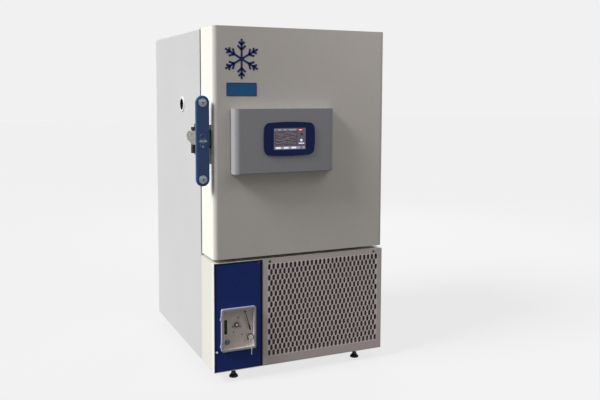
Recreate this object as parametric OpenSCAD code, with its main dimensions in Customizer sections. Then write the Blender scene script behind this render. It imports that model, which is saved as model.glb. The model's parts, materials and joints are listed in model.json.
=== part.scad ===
// Upright ultra-low-temperature freezer for laboratory samples.
// Millimetres, +Z up, floor at z = 0. Local working axes: x to the right, y to the back,
// with x = y = 0 at the middle of the cabinet's footprint. place() then moves everything so
// that the origin lies under the middle of the whole object's bounding box.

/* [Overall] */
// Width across the side panels
cab_w = 900; // [840:10:1000]
// Depth from the door's front to the cabinet's back
cab_d = 1080; // [940:10:1120]
// Height of the body above the floor clearance
body_h = 1620; // [1500:10:1700]
// Height of the machine base, up to the gap under the door
base_h = 524; // [505:1:560]
// Clear height between the floor and the base's skirt
clearance = 55; // [54:1:60]
// Thickness of the folded steel sheet
sheet = 1.5; // [1:0.1:2]

/* [Cabinet walls] */
// Thickness of the insulated walls
wall = 110; // [95:1:130]
// Thickness of the stainless liner
liner_t = 1.2; // [0.8:0.1:2]
// Width of the steel flange round the chamber's mouth
flange_w = 35; // [25:1:45]
// Depth of the plastic breaker frame round the mouth
breaker_d = 18; // [14:1:24]
// Recess of the back panel from the cabinet's rear edge
back_recess = 12; // [10:1:20]
// Bend radius of the outer wrap
bend_r = 8; // [5:0.5:12]
// Corner radius of the chamber
chamber_r = 12; // [10:1:16]
// Diameter of the evaporator tube
evap_d = 10; // [8:0.5:12]

/* [Access port] */
// Radius of the access port's bore
port_r = 27; // [20:1:29]
// Outer radius of the ring round the port
port_ring_r = 39; // [36:0.5:44]
// Thickness of the ring round the port
port_ring_t = 4; // [3:0.5:6]
// Side of the square sleeve that carries the port through the wall
port_sleeve_w = 66; // [64:1:70]
// Port centre behind the middle of the footprint
port_y = -23; // [-40:1:30]
// Port centre above the base
port_up = 730; // [705:1:760]

/* [Door] */
// Thickness of the door
door_t = 182; // [160:1:200]
// Thickness of the gasket between door and cabinet
gasket_t = 18; // [14:0.5:22]
// Width of the gasket's foot
gasket_w = 32; // [26:1:34]
// Gap between the door and the base
door_gap = 15; // [8:0.5:20]
// Radius of the door's front vertical edges
door_r = 22; // [12:1:30]
// Thickness of the door's inner plastic panel
door_liner_t = 3; // [2:0.5:4]
// Depth of the raised plug on the door's inside
plug_d = 34; // [24:1:36]
// Clearance round the plug in the mouth
plug_gap = 14; // [10:1:20]

/* [Outer hinges] */
// Hinge axis outboard of the side panel
hinge_out = 22; // [19:1:26]
// Radius of the hinge knuckles
knuckle_r = 14; // [12:0.5:15]
// Radius of the hinge pins
pin_r = 7; // [5:0.5:8]
// Height of one hinge leaf
leaf_h = 50; // [40:1:60]
// Number of outer hinges
hinge_count = 3; // [2:1:4]
// Running clearance of pins in their bores
fit = 0.05; // [0.03:0.01:0.08]

/* [Inner doors and shelves] */
// Number of inner doors
inner_count = 3;
// Thickness of an inner door
inner_t = 30; // [24:1:34]
// Gap above and below each inner door
inner_gap = 12; // [10:1:16]
// Radius of the inner doors' trunnions
trunnion_r = 4; // [3:0.5:5]
// Thickness of a shelf's sheet
shelf_t = 1.5; // [1.2:0.1:2.5]
// Depth of a shelf's folded rim
shelf_rim = 20; // [14:1:26]

/* [Latch] */
// Width of the grip bar
bar_w = 64; // [50:1:66]
// Length of the grip bar
bar_l = 415; // [360:5:460]
// Thickness of the grip bar
bar_t = 18; // [14:1:18]
// Middle of the grip bar outboard of the side panel
bar_out = 47.5; // [46:0.5:54]
// Middle of the grip bar above the base
bar_up = 571; // [550:1:590]
// Latch pivot outboard of the door's side
pivot_out = 14; // [13:0.5:16]
// Latch pivot behind the door's front
pivot_back = 32; // [31:1:40]
// Radius of the keeper's pin
keeper_r = 6; // [5:0.5:7]
// Keeper pin behind the cabinet's front flange
keeper_back = 14; // [12:1:24]
// Height of the latch lever's hook
hook_h = 62; // [40:1:66]

/* [Control box] */
// Width of the control box
box_w = 526; // [480:1:560]
// Height of the control box
box_h = 303; // [270:1:320]
// Depth of the control box in front of the door
box_d = 52; // [40:1:60]
// Middle of the control box from the middle of the door
box_x = -115; // [-120:0.5:-60]
// Middle of the control box above the base
box_up = 567; // [540:1:600]
// Width of the folded corner at each front edge of the control box
box_r = 30; // [16:1:36]
// Width of the display bezel
bezel_w = 261; // [230:1:280]
// Height of the display bezel
bezel_h = 160; // [140:1:180]
// Thickness of the bezel in front of the box
bezel_t = 6; // [4:0.5:8]
// Width of the touch screen
screen_w = 163; // [150:1:176]
// Height of the touch screen
screen_h = 102; // [90:1:110]
// Wall of the control box and of the bezel's skirt
box_wall = 2.5; // [2:0.1:3]

/* [Base front] */
// Width of the visible frame at the base's sides and bottom
frame_w = 2.5; // [2.5:0.5:5]
// Height of the frame above the blue fascia
rail_h = 3; // [2.5:0.5:12]
// Width of the mullion between the two panels
mullion_w = 2.5; // [2.5:0.5:6]
// Right edge of the blue fascia from the middle of the base
fascia_right = -206; // [-225:1:-200]
// Thickness of the two front panels
panel_t = 3; // [2:0.5:4]
// Gap round each front panel
panel_gap = 1; // [0.5:0.25:2]
// Distance between columns of grille slots
slot_pitch_x = 22.6; // [20:0.1:28]
// Distance between rows of grille slots
slot_pitch_z = 26.5; // [26:0.1:32]
// Width of a grille slot
slot_w = 12.5; // [8:0.1:13]
// Length of a grille slot
slot_l = 24; // [18:0.5:24]
// Clear border beside the slot field
slot_border = 24; // [14:0.5:26]
// Clear border under the slot field
slot_under = 43; // [30:1:50]
// Clear border above the slot field
slot_over = 25; // [24:1:60]

/* [Recorder] */
// Width of the chart recorder
rec_w = 171; // [165:1:185]
// Height of the chart recorder
rec_h = 204; // [190:1:220]
// Middle of the recorder from the middle of the base
rec_x = -331.5; // [-334:0.5:-322]
// Middle of the recorder above the base's underside
rec_up = 203; // [180:0.5:230]
// Width of the recorder's frame
rec_frame = 9; // [8:0.5:15]
// Depth of the recorder's tub behind the fascia
rec_depth = 60; // [45:1:70]
// Thickness of the recorder's door
rec_door_t = 13.7; // [11:0.1:16]
// Radius of the chart hub's knurled ring
hub_ring_r = 11; // [8:0.5:14]
// Length of the chart hub's two clip legs
clip_l = 26; // [18:1:30]
// Radius of the recorder lock's barrel
rec_lock_r = 8; // [6:0.5:9]

/* [Machine base] */
// Height of the machine tray above the skirt's lower edge
tray_lift = 50; // [49:1:56]
// Thickness of the machine tray
tray_t = 2.5; // [2:0.1:4]
// Radius of a compressor's can
comp_r = 92; // [80:1:100]
// Height of a compressor's can
comp_h = 215; // [190:1:240]
// Width of the condenser
cond_w = 430; // [380:1:450]
// Height of the condenser
cond_h = 370; // [330:1:390]
// Depth of the condenser
cond_d = 56; // [44:1:60]
// Pitch of the condenser's fins
fin_pitch = 15; // [12:0.5:20]
// Radius of the condenser fan
fan_r = 140; // [120:1:150]

/* [Casters] */
// Radius of the caster wheels
wheel_r = 37.5; // [32:0.5:38]
// Width of the caster wheels
wheel_w = 32; // [26:1:34]
// Casters in from the side panels
caster_inset = 100; // [90:1:130]
// Front casters behind the door's front
caster_front = 165; // [150:1:200]
// Rear casters in front of the cabinet's back
caster_rear = 100; // [90:1:140]
// Trail of a swivelling wheel behind its swivel axis
trail = 22; // [18:1:26]
// Clearance between the front wheels and the floor
front_lift = 2; // [1:0.5:4]
// Levelling feet in from the side panels
foot_inset = 118; // [95:1:130]
// Levelling feet behind the door's front
foot_front = 66; // [56:1:72]
// Radius of a levelling foot's pad
foot_r = 22; // [18:1:24]
// Radius of a levelling foot's stud
stud_r = 6; // [5:0.5:8]
// Radius of the wheel axles
axle_r = 5; // [4:0.5:6]

/* [Hidden] */
$fn = 64;
eps = 0.01;

// Planes and levels of the cabinet
x_side = cab_w / 2;
y_front = -cab_d / 2;
y_back = cab_d / 2;
y_flange = y_front + door_t + gasket_t;
z_under = clearance;
z_deck = clearance + base_h;
z_top = clearance + body_h;
x_cavity = x_side - wall;
z_cavity0 = z_deck + wall;
z_cavity1 = z_top - wall;
y_cavity = y_back - wall;
cavity_h = z_cavity1 - z_cavity0;
z_cavity = (z_cavity0 + z_cavity1) / 2;
y_liner = y_flange + breaker_d;
mouth_x = x_cavity - 2;
mouth_h = cavity_h - 4;
port_z = z_under + port_up + base_h;

// Door
z_door0 = z_deck + door_gap;
z_door1 = z_top;
door_h = z_door1 - z_door0;
z_door = (z_door0 + z_door1) / 2;
y_door_back = y_front + door_t;
gasket_in = 10;
seat_gap = 0.3;
evap_turns = 5;

// Outer hinges
hinge_x = x_side + hinge_out;
hinge_y = y_flange - gasket_t / 2;
leaf_t = 4;
leaf_gap = 0.5;
hinge_margin = 110;
hinge_step = (door_h - 2 * hinge_margin - 2 * leaf_h) / (hinge_count - 1);

// Inner doors and shelves
inner_side_gap = 4;
inner_front = y_flange + 30;
inner_h = (cavity_h - (inner_count + 1) * inner_gap) / inner_count;
inner_pitch = inner_h + inner_gap;
inner_pivot_x = mouth_x - 14;
inner_pivot_y = inner_front + trunnion_r;
shelf_y0 = inner_front + inner_t + 10;
shelf_y1 = y_cavity - 10;
shelf_x = x_cavity - 9;
pilaster_w = 24;
pilaster_t = 5;
pilaster_y = [shelf_y0 + 60, shelf_y1 - 60];
function shelf_z(i) = z_cavity0 + i * inner_pitch + inner_gap / 2;

// Latch
bar_x = -x_side - bar_out;
bar_z = z_deck + bar_up;
pivot_x = -x_side - pivot_out;
pivot_y = y_front + pivot_back;
keeper_x = pivot_x - 18;
keeper_y = y_flange + keeper_back;
hook_z = bar_z + 8;
hub_r = 9;
latch_pin_r = 4;
bracket_t = 4;
arm_t = 18;
arm_out = keeper_x - 10;
strap_t = 6;
strap_w = 38;
bar_back = y_front + bar_t;
screw_in = 32;
grip_lock_r = 11;
grip_lock_d = 12;

// Control box
box_z = z_deck + box_up;
bezel_x = box_x + 23.5;
bezel_z = box_z + 9.5;
y_box = y_front - box_d;
bezel_skirt = 8;

// Base front
win_x0 = -x_side + frame_w;
win_x1 = x_side - frame_w;
win_z0 = z_under + frame_w;
win_z1 = z_deck - rail_h;
grille_x0 = fascia_right + mullion_w;
ledge_w = 10;
ledge_t = 3;
win_z2 = z_deck - frame_w;
field_w = win_x1 - grille_x0 - 2 * panel_gap - 2 * slot_border;
field_h = win_z2 - win_z0 - 2 * panel_gap - slot_under - slot_over;
slot_cols = floor((field_w - slot_w) / slot_pitch_x) + 1;
slot_rows = floor((field_h - slot_l) / slot_pitch_z) + 1;
field_x = (grille_x0 + win_x1) / 2;
field_z = (win_z0 + slot_under + win_z2 - slot_over) / 2;

// Recorder
rec_z = z_under + rec_up;
rec_flange_t = 3;
rec_wall = 2;
tub_w = rec_w - 2 * rec_frame;
tub_h = rec_h - 2 * rec_frame;
rec_pin_r = 1.5;
rec_hinge_x = rec_x - rec_w / 2 - 1.8;
rec_hinge_y = y_front - rec_flange_t - 8.7;
rec_hinge_z = [-70, 60];
chart_x = rec_x - 6.5;
chart_z = rec_z + 17;
plate_y = y_front + 6;
pen_x = rec_x + 36.5;
pen_z = rec_z + tub_h / 2 - 18;
rec_lock_x = rec_x + 56.5;
rec_lock_z = rec_z - 44;
rec_y0 = y_front - rec_flange_t - seat_gap - rec_door_t;
window_t = 3;
window_in = 3;

// Machine base
z_tray = z_under + tray_lift;
z_floor = z_tray + tray_t;
side_plate_t = 2;
filter_t = 14;
y_filter = y_front + panel_t + ledge_t;
cond_x = win_x1 - 30 - cond_w / 2;
cond_y = y_filter + filter_t + 65;
fan_y = cond_y + cond_d + 34;
fan_z = z_floor + cond_h / 2;
comp_x = 175;
comp_y = y_back - 230;
grommet_h = 10;

// Casters
caster_x = x_side - caster_inset;
caster_y0 = y_front + caster_front;
caster_y1 = y_back - caster_rear;
plate_w = 76;
caster_plate_t = 3;
foot_x = x_side - foot_inset;
foot_y = y_front + foot_front;
race_h = 9;
race_r = 22;
crown_t = 5;
z_race = z_tray - caster_plate_t;
z_crown = z_race - race_h;
leg_t = 3;
leg_gap = 1;
hub_gap = 0.3;

// Move from the middle of the footprint to the middle of the bounding box
left_out = bar_out + bar_w / 2;
right_out = hinge_out + knuckle_r;
front_out = box_d + bezel_t;
place_x = (left_out - right_out) / 2;
place_y = front_out / 2;
module place() translate([place_x, place_y, 0]) children();

// ---- Helpers ----

// Rounded rectangle in 2D, centred, with true arcs
module rrect(w, h, r) {
  square([w - 2 * r, h], center = true);
  square([w, h - 2 * r], center = true);
  for (sx = [-1, 1], sz = [-1, 1])
    translate([sx * (w / 2 - r), sz * (h / 2 - r)]) circle(r);
}

// Stadium outline in 2D, upright, centred
module stadium(w, l) {
  square([w, l - w], center = true);
  for (s = [-1, 1]) translate([0, s * (l - w) / 2]) circle(w / 2);
}

// Outline drawn in x and z, extruded from y0 to y1
module along_y(y0, y1) {
  translate([0, y1, 0]) rotate([90, 0, 0]) linear_extrude(y1 - y0) children();
}

// Outline drawn in y and z, extruded from x0 to x1
module along_x(x0, x1) {
  translate([x0, 0, 0]) rotate([90, 0, 90]) linear_extrude(x1 - x0) children();
}

// Outline drawn in x and y, extruded from z0 to z1
module along_z(z0, z1) {
  translate([0, 0, z0]) linear_extrude(z1 - z0) children();
}

// Box from corner to corner
module block(a, b) {
  translate(a) cube([b[0] - a[0], b[1] - a[1], b[2] - a[2]]);
}

// Round bar from y0 to y1 at x, z
module rod_y(x, z, r, y0, y1) {
  translate([x, y0, z]) rotate([-90, 0, 0]) cylinder(r = r, h = y1 - y0);
}

// Round bar from x0 to x1 at y, z
module rod_x(y, z, r, x0, x1) {
  translate([x0, y, z]) rotate([0, 90, 0]) cylinder(r = r, h = x1 - x0);
}

// Cabinet outline in x and z with rounded upper corners, drawn in by t
module portal(t, z0) {
  r = max(bend_r - t, 1);
  w = cab_w - 2 * t;
  top = z_top - t;
  translate([-w / 2, z0]) square([w, top - r - z0]);
  translate([-w / 2 + r, z0]) square([w - 2 * r, top - z0]);
  for (s = [-1, 1]) translate([s * (w / 2 - r), top - r]) circle(r);
}

// ---- Cabinet ----

module cabinet_wrap() {
  color([0.86, 0.86, 0.87]) place() difference() {
    union() {
      along_y(y_flange, y_back) difference() {
        portal(0, z_under);
        portal(sheet, z_under - 1);
      }
      along_y(y_flange, y_flange + sheet) difference() {
        portal(0, z_deck);
        translate([0, z_cavity]) breaker_outline();
      }
      along_y(y_back - sheet, y_back) difference() {
        portal(0, z_under);
        translate([-x_side + flange_w / 2, z_under - 1])
          square([cab_w - flange_w, body_h - flange_w / 2 + 1]);
      }
    }
    rod_x(port_y, port_z, port_r + 1, -x_side - 1, -x_side + sheet + 1);
  }
}

module breaker_outline() {
  rrect(cab_w - 2 * flange_w, z_top - z_deck - 2 * flange_w, 6);
}

module back_panel() {
  y0 = y_back - back_recess;
  bead_h = z_top - z_deck - 160;
  color([0.80, 0.80, 0.81]) place() {
    along_y(y0, y0 + 1.2) portal(sheet, z_deck);
    for (x = [-3:1:3])
      along_y(y0 + 1.2, y0 + 6) translate([x * cab_w / 8, (z_deck + z_top) / 2])
        stadium(22, bead_h);
  }
}

module evaporator_zone(grow) {
  for (i = [0:evap_turns - 1])
    translate([0, y_liner + 90 + i * (y_cavity - y_liner - 150) / (evap_turns - 1), z_cavity])
      rotate([90, 0, 0]) children();
}

module foam_insulation() {
  groove = evap_d + 1;
  color([0.93, 0.88, 0.70]) place() difference() {
    along_y(y_flange + sheet, y_back - back_recess) portal(sheet, z_deck);
    along_y(y_flange, y_liner) translate([0, z_cavity]) breaker_outline();
    along_y(y_flange, y_cavity + liner_t) translate([0, z_cavity])
      rrect(2 * x_cavity + 2 * liner_t, cavity_h + 2 * liner_t, chamber_r + liner_t);
    evaporator_zone() translate([0, 0, -groove / 2]) linear_extrude(groove)
      square([2 * (x_cavity + liner_t + groove), cavity_h + 2 * (liner_t + groove)],
             center = true);
    block([-x_side, port_y - port_sleeve_w / 2, port_z - port_sleeve_w / 2],
          [-x_cavity + 1, port_y + port_sleeve_w / 2, port_z + port_sleeve_w / 2]);
  }
}

module inner_liner() {
  color([0.72, 0.73, 0.74]) place() difference() {
    along_y(y_liner, y_cavity + liner_t) translate([0, z_cavity])
      rrect(2 * x_cavity + 2 * liner_t, cavity_h + 2 * liner_t, chamber_r + liner_t);
    along_y(y_liner - 1, y_cavity) translate([0, z_cavity])
      rrect(2 * x_cavity, cavity_h, chamber_r);
    rod_x(port_y, port_z, port_r + 1, -x_cavity - liner_t - 1, -x_cavity + 1);
  }
}

module breaker_frame() {
  color([0.90, 0.90, 0.88]) place() difference() {
    along_y(y_flange, y_liner) translate([0, z_cavity]) difference() {
      breaker_outline();
      rrect(2 * mouth_x, mouth_h, chamber_r - 2);
    }
    along_y(y_flange - 1, y_flange + 2) translate([0, z_cavity]) difference() {
      rrect(2 * mouth_x + 26, mouth_h + 26, chamber_r);
      rrect(2 * mouth_x + 18, mouth_h + 18, chamber_r);
    }
  }
}

// Rings of tube round the liner, joined along one side by a straight header
module evaporator_tube() {
  r = evap_d / 2;
  lie = liner_t + r + 0.2;
  bend = chamber_r + lie;
  w = 2 * (x_cavity + lie);
  h = cavity_h + 2 * lie;
  color([0.72, 0.45, 0.28]) place() evaporator_zone() {
    for (s = [-1, 1]) {
      translate([s * w / 2, 0, 0]) rotate([90, 0, 0])
        cylinder(r = r, h = h - 2 * bend, center = true);
      translate([0, s * h / 2, 0]) rotate([0, 90, 0])
        cylinder(r = r, h = w - 2 * bend, center = true);
    }
    for (q = [[1, 1, 0], [-1, 1, 90], [-1, -1, 180], [1, -1, 270]])
      translate([q[0] * (w / 2 - bend), q[1] * (h / 2 - bend), 0])
        rotate([0, 0, q[2]]) rotate_extrude(angle = 90) translate([bend, 0]) circle(r);
  }
}

// Slotted uprights on the chamber's sides, and the clips that carry the shelves
module shelf_supports() {
  z0 = z_cavity0 + 26;
  h = cavity_h - 52;
  color([0.78, 0.79, 0.80]) place() {
    for (s = [-1, 1], y = pilaster_y) difference() {
      union() {
        along_x(min(s * x_cavity, s * (x_cavity - pilaster_t)),
                max(s * x_cavity, s * (x_cavity - pilaster_t)))
          translate([y, z0 + h / 2]) square([pilaster_w, h], center = true);
        for (i = [1:inner_count - 1])
          block([min(s * (x_cavity - pilaster_t), s * (x_cavity - 26)), y - 8,
                 shelf_z(i) - shelf_rim - 12],
                [max(s * (x_cavity - pilaster_t), s * (x_cavity - 26)), y + 8,
                 shelf_z(i) - shelf_rim]);
      }
      for (k = [1:floor(h / 60) - 1])
        along_x(min(s * x_cavity, s * (x_cavity - pilaster_t)) - 1,
                max(s * x_cavity, s * (x_cavity - pilaster_t)) + 1)
          for (d = [-7.5, 7.5]) translate([y + d, z0 + k * 60 + 30])
            square([4, 14], center = true);
    }
  }
}

// Folded stainless shelves with rows of round holes near the front and back
module shelves() {
  color([0.76, 0.77, 0.79]) place()
    for (i = [1:inner_count - 1]) difference() {
      block([-shelf_x, shelf_y0, shelf_z(i) - shelf_rim], [shelf_x, shelf_y1, shelf_z(i)]);
      block([-shelf_x + shelf_t, shelf_y0 + shelf_t, shelf_z(i) - shelf_rim - 1],
            [shelf_x - shelf_t, shelf_y1 - shelf_t, shelf_z(i) - shelf_t]);
      for (x = [-4:1:4], y = [shelf_y0 + 40, shelf_y1 - 40])
        translate([x * shelf_x / 5, y, shelf_z(i) - shelf_t - 1])
          cylinder(r = 9, h = shelf_t + 2);
    }
}

// Small brackets with bores that carry the inner doors' trunnions
module inner_hinge_brackets() {
  y0 = inner_pivot_y - trunnion_r - 4;
  y1 = inner_pivot_y + 12;
  color([0.55, 0.56, 0.58]) place()
    for (i = [0:inner_count]) {
      low = z_cavity0 + i * inner_pitch;
      foot = i == 0 ? low : low + inner_gap - 3;
      difference() {
        union() {
          block([inner_pivot_x - 9, y0, low + 1.5],
                [i == 0 || i == inner_count ? inner_pivot_x + 8 : x_cavity, y1,
                 low + inner_gap - 1.5]);
          if (i == 0 || i == inner_count)
            block([inner_pivot_x - 26, y0, foot], [inner_pivot_x + 2, y1, foot + 3]);
        }
        translate([inner_pivot_x, inner_pivot_y, low - 1])
          cylinder(r = trunnion_r + fit, h = inner_gap + 2);
      }
    }
}

module port_sleeve() {
  color([0.06, 0.06, 0.07]) place() difference() {
    block([-x_side + sheet, port_y - port_sleeve_w / 2, port_z - port_sleeve_w / 2],
          [-x_cavity - liner_t, port_y + port_sleeve_w / 2, port_z + port_sleeve_w / 2]);
    rod_x(port_y, port_z, port_r, -x_side, -x_cavity + 1);
  }
}

module port_ring() {
  color([0.90, 0.90, 0.90]) place()
    translate([-x_side, port_y, port_z]) rotate([0, -90, 0]) rotate_extrude()
      difference() {
        union() {
          translate([port_r + 0.5, 0]) square([port_ring_r - port_r - 0.5, port_ring_t - 2]);
          translate([port_r + 0.5, 0]) square([port_ring_r - port_r - 2.5, port_ring_t]);
          translate([port_ring_r - 2, port_ring_t - 2]) circle(2);
        }
        translate([-1, -3]) square([port_ring_r + 9, 3]);
      }
}

// Two ears on a plate, with the pin that the lever's hook grips
module latch_keeper() {
  gap = hook_h + 4;
  ear = 14;
  color([0.07, 0.07, 0.08]) place() {
    block([-x_side - bracket_t, y_flange + 3, hook_z - gap / 2 - 58],
          [-x_side, y_flange + 92, hook_z + gap / 2 + 26]);
    along_z(hook_z + gap / 2, hook_z + gap / 2 + ear) keeper_ear();
    along_z(hook_z - gap / 2 - 46, hook_z - gap / 2) keeper_ear();
    translate([keeper_x, keeper_y, hook_z - gap / 2]) cylinder(r = keeper_r, h = gap);
  }
}

module keeper_ear() {
  translate([keeper_x, keeper_y]) circle(10);
  translate([keeper_x, keeper_y - 10]) square([-x_side - bracket_t - keeper_x + eps, 20]);
  polygon([[-x_side - bracket_t + eps, keeper_y], [keeper_x, keeper_y + 10],
           [-x_side - bracket_t + eps, y_flange + 80]]);
}

// ---- Outer hinges ----

module each_hinge() {
  for (i = [0:hinge_count - 1])
    translate([0, 0, z_door0 + hinge_margin + i * hinge_step]) children();
}

module cabinet_hinge_leaves() {
  color([0.62, 0.63, 0.65]) place() each_hinge() {
    block([x_side, y_flange + 12, 0], [x_side + leaf_t, y_flange + 110, leaf_h]);
    along_z(0, leaf_h) {
      translate([hinge_x, hinge_y]) circle(knuckle_r);
      translate([hinge_x - knuckle_r + 2, hinge_y])
        square([2 * knuckle_r - 2, y_flange + 12 - hinge_y + 20]);
      translate([x_side + leaf_t - eps, y_flange + 12])
        square([hinge_x + knuckle_r - x_side - leaf_t, 20]);
    }
    translate([hinge_x, hinge_y, leaf_h - 1]) cylinder(r = pin_r, h = leaf_h + 5);
  }
}

module door_hinge_leaves() {
  z0 = leaf_h + leaf_gap;
  z1 = 2 * leaf_h;
  color([0.62, 0.63, 0.65]) place() each_hinge() difference() {
    union() {
      block([x_side, y_front + door_r + 20, z0], [x_side + leaf_t, y_door_back - 8, z1]);
      along_z(z0, z1) {
        translate([hinge_x, hinge_y]) circle(knuckle_r);
        translate([hinge_x - knuckle_r + 2, y_door_back - 28])
          square([2 * knuckle_r - 2, hinge_y - y_door_back + 28]);
        translate([x_side + leaf_t - eps, y_door_back - 28])
          square([hinge_x + knuckle_r - x_side - leaf_t, 18]);
      }
    }
    translate([hinge_x, hinge_y, z0 - 1]) cylinder(r = pin_r + fit, h = leaf_h + 2);
  }
}

// ---- Door ----

// Door outline in x and y with rounded front corners, drawn in by t
module door_outline(t, y1) {
  r = door_r - t;
  w = cab_w - 2 * t;
  translate([-w / 2, y_front + t + r]) square([w, y1 - y_front - t - r]);
  translate([-w / 2 + r, y_front + t]) square([w - 2 * r, y1 - y_front - t]);
  for (s = [-1, 1]) translate([s * (w / 2 - r), y_front + t + r]) circle(r);
}

module door_skin() {
  color([0.56, 0.55, 0.52]) place() difference() {
    along_z(z_door0, z_door1) door_outline(0, y_door_back);
    along_z(z_door0 + sheet, z_door1 - sheet) door_outline(sheet, y_door_back + 1);
  }
}

module plug_outline(t) {
  translate([0, z_cavity])
    rrect(2 * (mouth_x - plug_gap - t), mouth_h - 2 * plug_gap - 2 * t, chamber_r - t);
}

module door_foam() {
  color([0.93, 0.88, 0.70]) place() {
    along_z(z_door0 + sheet, z_door1 - sheet) door_outline(sheet, y_door_back - door_liner_t);
    along_y(y_door_back - door_liner_t - eps, y_door_back + plug_d - door_liner_t)
      plug_outline(door_liner_t);
  }
}

module door_liner() {
  color([0.90, 0.90, 0.88]) place() difference() {
    union() {
      along_y(y_door_back - door_liner_t, y_door_back) translate([0, z_door])
        square([cab_w - 2 * sheet, door_h - 2 * sheet], center = true);
      along_y(y_door_back - eps, y_door_back + plug_d) plug_outline(0);
    }
    along_y(y_door_back - door_liner_t - 1, y_door_back + plug_d - door_liner_t)
      plug_outline(door_liner_t);
  }
}

// Ring of gasket from y0 to y1, whose outer edge lies g inside the door's edge
module gasket_ring(y0, y1, g, w) {
  along_y(y0, y1) translate([0, z_door]) difference() {
    rrect(cab_w - 2 * g, door_h - 2 * g, 12);
    rrect(cab_w - 2 * (g + w), door_h - 2 * (g + w), 6);
  }
}

module door_gasket() {
  y1 = y_flange - seat_gap;
  color([0.07, 0.07, 0.08]) place() {
    gasket_ring(y_door_back, y_door_back + 6, gasket_in, gasket_w);
    gasket_ring(y_door_back + 6 - eps, y1, gasket_in + 5, gasket_w - 10);
    gasket_ring(y1 - 6, y1 - 2, gasket_in, gasket_w);
  }
}

// ---- Control box ----

// Box outline in x and y with rounded front corners, drawn in by t
module box_outline(t, y1) {
  r = box_r - 0.6 * t;
  w = box_w / 2 - t;
  y0 = y_box + t;
  translate([box_x, 0]) polygon([[-w, y1], [-w, y0 + r], [-w + r, y0], [w - r, y0],
                                 [w, y0 + r], [w, y1]]);
}

module control_housing() {
  z0 = box_z - box_h / 2;
  z1 = box_z + box_h / 2;
  color([0.46, 0.46, 0.48]) place() difference() {
    along_z(z0, z1) box_outline(0, y_front);
    along_z(z0 + box_wall, z1 - box_wall) box_outline(box_wall, y_front + 1);
    along_y(y_box - 1, y_box + box_wall + 1) translate([bezel_x, bezel_z])
      rrect(bezel_w - 16, bezel_h - 16, 10);
  }
}

// Pillow outline of the bezel: four shallow arcs with rounded corners
module pillow(w, h, r) {
  rise = 7;
  big_x = (pow(h / 2, 2) + rise * rise) / (2 * rise);
  big_z = (pow(w / 2, 2) + rise * rise) / (2 * rise);
  intersection() {
    rrect(w, h, r);
    translate([big_x - w / 2, 0]) circle(big_x);
    translate([w / 2 - big_x, 0]) circle(big_x);
    translate([0, big_z - h / 2]) circle(big_z);
    translate([0, h / 2 - big_z]) circle(big_z);
  }
}

module control_bezel() {
  color([0.09, 0.12, 0.28]) place() translate([bezel_x, 0, bezel_z]) difference() {
    union() {
      along_y(y_box - bezel_t, y_box) pillow(bezel_w, bezel_h, 22);
      along_y(y_box - eps, y_box + bezel_skirt)
        square([bezel_w - 22, bezel_h - 22], center = true);
    }
    along_y(y_box - bezel_t - 1, y_box - bezel_t + 2)
      square([screen_w + 0.4, screen_h + 0.4], center = true);
    along_y(y_box - bezel_t + 1, y_box + bezel_skirt + 1)
      square([screen_w - 8, screen_h - 8], center = true);
  }
}

module touch_screen() {
  color([0.35, 0.40, 0.45]) place() translate([bezel_x, 0, bezel_z])
    along_y(y_box - bezel_t + 0.5, y_box - bezel_t + 2)
      square([screen_w, screen_h], center = true);
}

// ---- Latch ----

module latch_bracket() {
  lug = 11;
  gap = hook_h + 1;
  color([0.10, 0.10, 0.11]) place() {
    difference() {
      union() {
        block([-x_side - bracket_t, y_front + door_r + 3, hook_z - 115],
              [-x_side, y_front + 108, hook_z + 65]);
        for (z = [hook_z + gap / 2, hook_z - gap / 2 - lug]) along_z(z, z + lug) {
          translate([pivot_x, pivot_y]) circle(hub_r);
          translate([pivot_x, pivot_y])
            square([-x_side - bracket_t - pivot_x + eps, hub_r + 14]);
          polygon([[pivot_x - hub_r, pivot_y], [-x_side - bracket_t + eps, pivot_y],
                   [-x_side - bracket_t + eps, pivot_y + 50]]);
        }
      }
    }
    translate([pivot_x, pivot_y, hook_z - gap / 2 - 1])
      cylinder(r = latch_pin_r, h = gap + 2);
  }
}

// Bell-crank casting: hub, web to the grip's strap, and the hook behind the keeper's pin
module latch_lever() {
  reach = norm([keeper_x - pivot_x, keeper_y - pivot_y]) + keeper_r + seat_gap;
  color([0.78, 0.78, 0.79]) place() difference() {
    union() {
      along_z(hook_z - hook_h / 2, hook_z + hook_h / 2) {
        translate([pivot_x, pivot_y]) circle(hub_r);
        polygon([[pivot_x - 4, pivot_y - 8], [pivot_x - 6, pivot_y + 6.7],
                 [arm_out - arm_t, pivot_y + 42], [arm_out - arm_t, bar_back + strap_t],
                 [bar_x + 14, bar_back + strap_t - 1], [bar_x + 17, bar_back + strap_t - 1]]);
        polygon([[arm_out - arm_t, pivot_y + 20], [arm_out, pivot_y + 20],
                 [arm_out, pivot_y + reach], [arm_out - arm_t, pivot_y + reach]]);
        intersection() {
          translate([pivot_x, pivot_y]) difference() {
            circle(reach + 13, $fn = 180);
            circle(reach, $fn = 180);
          }
          translate([arm_out - arm_t, pivot_y]) square([keeper_x + 8 - arm_out + arm_t, 400]);
        }
      }
      along_y(bar_back, bar_back + strap_t) translate([bar_x, bar_z])
        stadium(strap_w, bar_l - 24);
    }
    translate([pivot_x, pivot_y, hook_z - hook_h]) cylinder(r = latch_pin_r + fit, h = 2 * hook_h);
    for (s = [-1, 1])
      rod_y(bar_x, bar_z + s * (bar_l / 2 - screw_in), 4, bar_back - 1, bar_back + strap_t + 1);
  }
}

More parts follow.
